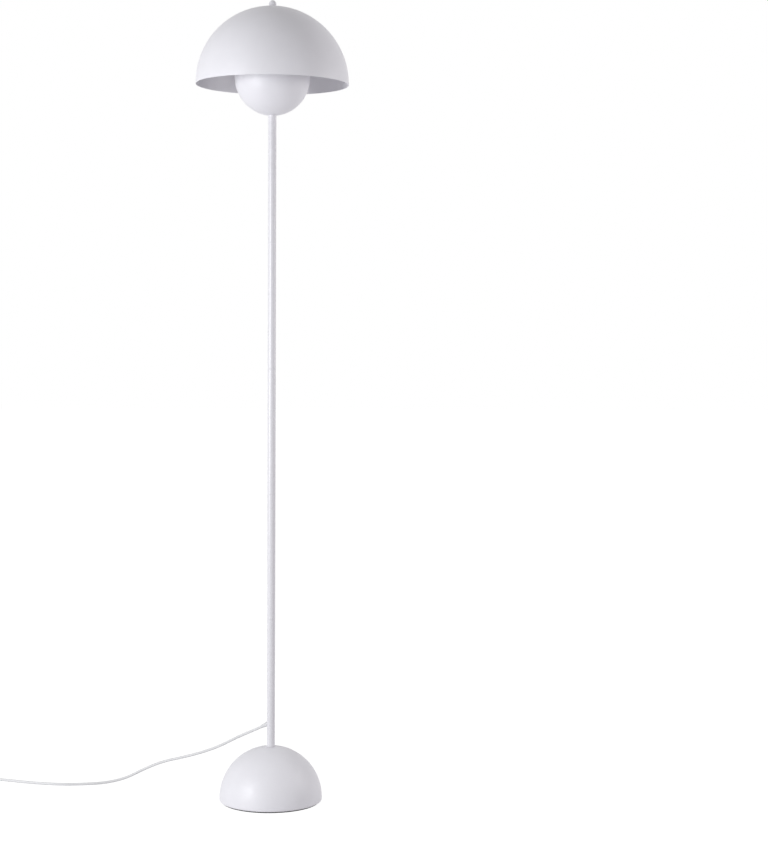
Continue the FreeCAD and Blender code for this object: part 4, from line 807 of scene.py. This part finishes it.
def thread(pitch, depth, low, high, run_out=0.6):
    """A swell for a round crested thread: depth times (cos(2 pi z / pitch - a) - 1) / 2 between
    the two heights, so that the crests stay at the plain radius."""
    def swell(r, z, a):
        share = np.clip(np.minimum(z - low, high - z) / (pitch * run_out), 0, 1)
        return depth * share * (np.cos(2 * math.pi * z / pitch - a) - 1) / 2
    return swell


seat_low, seat_high = node_box("harp_seat")
disc_top, disc_radius, stud_radius = seat_low[2] + 3 * MM, 8 * MM, 3 * MM
stud = np.concatenate([
    plain([(0, seat_low[2])]),
    plain([(disc_radius, seat_low[2]), (disc_radius, disc_top)], 0.4 * MM),
    plain(upright(stud_radius, disc_top, seat_high[2] - 0.5 * MM, 90)),
    plain([(2.5 * MM, seat_high[2]), (0, seat_high[2])])])
stud_thread = thread(1 * MM, 0.5 * MM, disc_top + 1 * MM, seat_high[2])


def seat_thread(r, z, a):
    """Thread on the stud only, not on the disc."""
    return np.where(r < stud_radius + 0.01 * MM, stud_thread(r, z, a), 0)


dress(turned("harp_seat_stud", softened(stud), 72, swell=seat_thread), ["harp_seat"])

# %% [markdown]
# ## Lampholder and bulb
# The holder is a two piece moulding with grip ribs. The bulb's cap and the shell it screws into
# have the coarse round thread of a household bulb, which is again a swell on a plain cylinder.

# %% The lampholder
cap_low, cap_high = node_box("lampholder_cap")
holder_radius = cap_high[0]
holder_wall, cap_foot = 2 * MM, 13 * MM
holder_inside = holder_radius - holder_wall
floor, flare_top = cap_low[2], cap_low[2] + 9 * MM
cap = np.concatenate([
    plain([(stud_hole, floor)]), plain([(cap_foot, floor)], 0.5 * MM),
    plain(arc((cap_foot, floor), (holder_radius, flare_top), 16 * MM, 10)[1:]),
    plain([(holder_radius, cap_high[2])], 0.4 * MM),
    plain([(holder_inside, cap_high[2]), (holder_inside, flare_top),
           (12.6 * MM, floor + holder_wall), (stud_hole, floor + holder_wall)])])
dress(turned("lampholder_cap_moulding", softened(cap), 120), ["lampholder_cap"])

sleeve_low, sleeve_high = node_box("lampholder_body")
floor, rim = sleeve_low[2], sleeve_high[2]
rib_low, rib_high = floor + 5 * MM, floor + 19 * MM
mouth_radius, under_rim = 15.5 * MM, rim - holder_wall
sleeve = np.concatenate([
    plain([(holder_inside, floor)]), plain([(holder_radius, floor)], 0.4 * MM),
    plain(upright(holder_radius, floor + 3 * MM, floor + 21 * MM, 37)),
    plain([(holder_radius, under_rim), (holder_radius - 1 * MM, rim), (mouth_radius, rim)],
          0.4 * MM),
    plain([(mouth_radius, under_rim), (holder_inside, under_rim)])])


def grip_ribs(r, z, a):
    """40 shallow flutes between two heights: (cos 40a - 1) / 2 times their depth."""
    share = np.clip(np.minimum(z - rib_low, rib_high - z) / (1.5 * MM), 0, 1)
    outside = r > holder_radius - 0.1 * MM
    return 0.35 * MM * share * outside * (np.cos(40 * a) - 1) / 2


dress(turned("lampholder_sleeve", softened(sleeve), 320, swell=grip_ribs), ["lampholder_body"])

shell_low, shell_high = node_box("lampholder_screw_shell")
shell_radius, shell_wall, shell_hole = shell_high[0], 0.5 * MM, 8.3 * MM
shell_floor, shell_bore = shell_low[2] + shell_wall, shell_radius - shell_wall
shell_side = (shell_low[2] + 1 * MM, shell_high[2] - 0.3 * MM, 70)
shell_outline = np.concatenate([
    plain([(shell_hole, shell_low[2]), (shell_radius - 0.1 * MM, shell_low[2])]),
    plain(upright(shell_radius, *shell_side)),
    plain(upright(shell_bore, *shell_side)[::-1]),
    plain([(shell_bore, shell_floor), (shell_hole, shell_floor)])])
bulb_pitch, rolled_depth, run_out = 3.6 * MM, 0.7 * MM, 2.16 * MM
thread_low, thread_high = shell_low[2] + 2 * MM, shell_high[2] - 1 * MM
rolled_in = thread(bulb_pitch, rolled_depth, thread_low, thread_high)


def rolled_shell(r, z, a):
    """The thread moved out by its own depth, so that its roots stay at the plain radius."""
    share = np.clip(np.minimum(z - thread_low, thread_high - z) / run_out, 0, 1)
    return rolled_in(r, z, a) + rolled_depth * share


dress(turned("screw_shell", softened(shell_outline), 96, swell=rolled_shell),
      ["lampholder_screw_shell"])

# %% The bulb
foot_of_bulb = node_box("bulb_contact")[0][2]
cap_top, globe_floor, globe_middle, globe_radius, bulb_top = 26, 66, 77, 30.0, 107


def bulb_piece(name, node, outline, steps=96, swell=None):
    """A turned piece whose outline is in millimetres above the foot of the bulb."""
    shape = np.asarray(outline, float) * (MM, MM, MM) + (0, foot_of_bulb, 0)
    return dress(turned(name, softened(shape), steps, swell=swell), [node], "bulb")


bulb_piece("bulb_centre_contact", "bulb_contact",
           [(0, 0, 0), (3.6, 0, 0.6), (4.6, 2, 0), (0, 2, 0)], 48)
bulb_piece("bulb_black_ring", "bulb_insulator",
           [(0, 2, 0), (5, 2, 0.2), (9, 5, 0.2), (0, 5, 0)], 64)
threaded = plain(upright(13.2, 8.2, 25.8, 70))
bulb_piece("bulb_cap_thread", "bulb_screw_cap",
           np.concatenate([[(0, 5, 0), (9.2, 5, 0.3)], threaded,
                           [(13.2, cap_top, 0), (0, cap_top, 0)]]),
           swell=thread(bulb_pitch, 0.9 * MM, foot_of_bulb + 8.5 * MM, foot_of_bulb + 24 * MM))
neck_arc = arc((14.4, 32), (29.4, globe_floor), -80.0, 24)
bulb_piece("bulb_neck_moulding", "bulb_neck", np.concatenate([
    plain([(0, cap_top)]), plain([(13.8, cap_top)], 0.3), plain(neck_arc[:-1]),
    plain([(29.4, globe_floor)], 0.2), plain([(0, globe_floor)])]), 128)
globe_start = math.sqrt(globe_radius**2 - (globe_middle - globe_floor) ** 2)
globe_low = 66.05
globe_arc = arc((globe_start, globe_low), (0, bulb_top), globe_radius, 48)
bulb_piece("bulb_opal_globe", "bulb_globe", np.concatenate([
    plain([(0, globe_low)]), plain(globe_arc[:-1]), plain([(0, bulb_top)])]), 128)

# %% [markdown]
# ## The cores inside the pole
# Two insulated cores run from the strain relief up the pole to the terminals. They hardly ever
# show, but they are soft, so they are drawn as curves like the lead itself.

# %% The cores
core_side = np.cross((0, 0, 1), exit_way)
core_side /= np.linalg.norm(core_side)
inside = exit_way * pole_flange + (0, 0, exit_height)
nipple_top = node_box("head_nipple")[1][2] / MM
terminal_floor = node_box("lampholder_terminals")[0][2] / MM
core_offset, core_radius, terminal_x = 1.4, 1.1 * MM, 8.0
for name, node, way in (("live_core", "live_wire", -1), ("neutral_core", "neutral_wire", 1)):
    off = core_side * (core_offset * way)
    route = np.array([
        inside + off, off + (0, 0, exit_height), (off[0], off[1], exit_height + 12),
        (off[0], off[1], nipple_top - 20), (off[0], off[1], nipple_top + 1.5),
        (-terminal_x * way, 0, terminal_floor - 3.5), (-terminal_x * way, 0, terminal_floor)])
    dress(cord_curve(name, route, core_radius), [node])

# %% [markdown]
# ## Finishes for the nodes that stay
# Nuts, studs, washers, the weight and the other hidden pieces keep their engineering shape. Each
# gets the finish that the record names for it.

# %% Repaint what is left of the engineering model
kept = []
for node, piece in frame["nodes"].items():
    if not piece.hide_render:
        piece.data.materials.clear()
        piece.data.materials.append(FINISHES[slots[node]])
        kept.append(node)
print(len(kept), "engineering nodes show:", ", ".join(sorted(kept)))

# %% [markdown]
# ## Floor, background and light
# The picture has a clean white background and a lamp that is bright on the left and pale grey on
# the right and on top. Two large soft lights stand beside it, lower than the shade, so the
# dome's top stays darker than its sides: a strong one on the left and a weak one on the right.
# The white comes from what the camera sees of the world and the floor, not from more light.

# %% The floor and the world
FLOOR_COLOUR, FLOOR_ROUGHNESS = (0.74, 0.73, 0.75, 1), 0.9
SHADOW_SHARE, FLOOR_GLOW = (0.30, 0.30, 0.30, 1), 0.885
ROOM_COLOUR, ROOM_LIGHT = (0.985, 0.975, 1.0, 1), 0.42
FLOOR_SPAN, FLOOR_HEIGHT = 40.0, -0.0002


def looked_at(nodes, links):
    """1 for a ray that the eye follows: from the camera, off a gloss or through a clear piece.
    It is 0 for the light that the floor and the world shed on the lamp."""
    path = nodes.new("ShaderNodeLightPath")
    most = path.outputs["Is Camera Ray"]
    for label in ("Is Glossy Ray", "Is Transmission Ray"):
        larger = nodes.new("ShaderNodeMath")
        larger.operation = "MAXIMUM"
        links.new(most, larger.inputs[0])
        links.new(path.outputs[label], larger.inputs[1])
        most = larger.outputs[0]
    return most


def seen_apart(nodes, links, shed, seen, surface):
    """One shader for the light that falls on the lamp and another for what the eye sees."""
    mix = nodes.new("ShaderNodeMixShader")
    links.new(looked_at(nodes, links), mix.inputs["Fac"])
    links.new(shed.outputs[0], mix.inputs[1])
    links.new(seen.outputs[0], mix.inputs[2])
    links.new(mix.outputs[0], surface)


def camera_white(name):
    """A pale floor. What the camera sees of it is lifted to white, less the lamp's shadow."""
    material = bpy.data.materials.new(name)
    material.use_nodes = True
    nodes, links = material.node_tree.nodes, material.node_tree.links
    pale = set_sockets(nodes["Principled BSDF"], Base_Color=FLOOR_COLOUR,
                       Roughness=FLOOR_ROUGHNESS)
    seen = set_sockets(nodes.new("ShaderNodeBsdfDiffuse"), Color=SHADOW_SHARE)
    glow = set_sockets(nodes.new("ShaderNodeEmission"), Strength=FLOOR_GLOW)
    both = nodes.new("ShaderNodeAddShader")
    links.new(seen.outputs[0], both.inputs[0])
    links.new(glow.outputs[0], both.inputs[1])
    seen_apart(nodes, links, pale, both, nodes["Material Output"].inputs["Surface"])
    return material


corner = np.array([(-1, -1), (1, -1), (1, 1), (-1, 1)]) * FLOOR_SPAN / 2
corner = np.column_stack([corner, np.full(4, FLOOR_HEIGHT)])
floor_mesh = bpy.data.meshes.new("floor")
floor_mesh.from_pydata(corner.tolist(), [], [(0, 1, 2, 3)])
floor_piece = placed("floor", floor_mesh)
floor_mesh.materials.append(camera_white("floor_white"))

world = bpy.data.worlds.new("studio")
bpy.context.scene.world = world
world.use_nodes = True
nodes, links = world.node_tree.nodes, world.node_tree.links
soft = set_sockets(nodes["Background"], Color=ROOM_COLOUR, Strength=ROOM_LIGHT)
white = set_sockets(nodes.new("ShaderNodeBackground"), Color=(1, 1, 1, 1), Strength=1.0)
seen_apart(nodes, links, soft, white, nodes["World Output"].inputs["Surface"])
print("floor", FLOOR_SPAN, "m wide, room light", ROOM_LIGHT)


# %% The lights
def soft_light(name, spot, target, size, power, colour):
    """A rectangular light that faces a point."""
    light = bpy.data.lights.new(name, "AREA")
    light.shape, light.size, light.size_y = "RECTANGLE", size[0], size[1]
    light.energy, light.color = power, colour
    lamp = placed(name, light)
    back = np.asarray(spot, float) - target
    back /= np.linalg.norm(back)
    across = np.cross((0, 0, 1), back)
    across /= np.linalg.norm(across)
    turn_to(lamp, across, np.cross(back, across), back, spot)
    return lamp


middle = (0, 0, 0.85)
key = soft_light("key_left", (-2.05, -1.6, 0.95), middle, (0.8, 1.0), 45.0, (0.965, 0.985, 1.0))
rim_light = soft_light("rim_right", (2.07, -0.1, 1.2), middle, (0.9, 1.1), 14.0, (1.0, 0.99, 1.0))
print("lights", [(lamp.name, lamp.data.energy) for lamp in (key, rim_light)])

bpy.context.scene.view_settings.view_transform = "Standard"
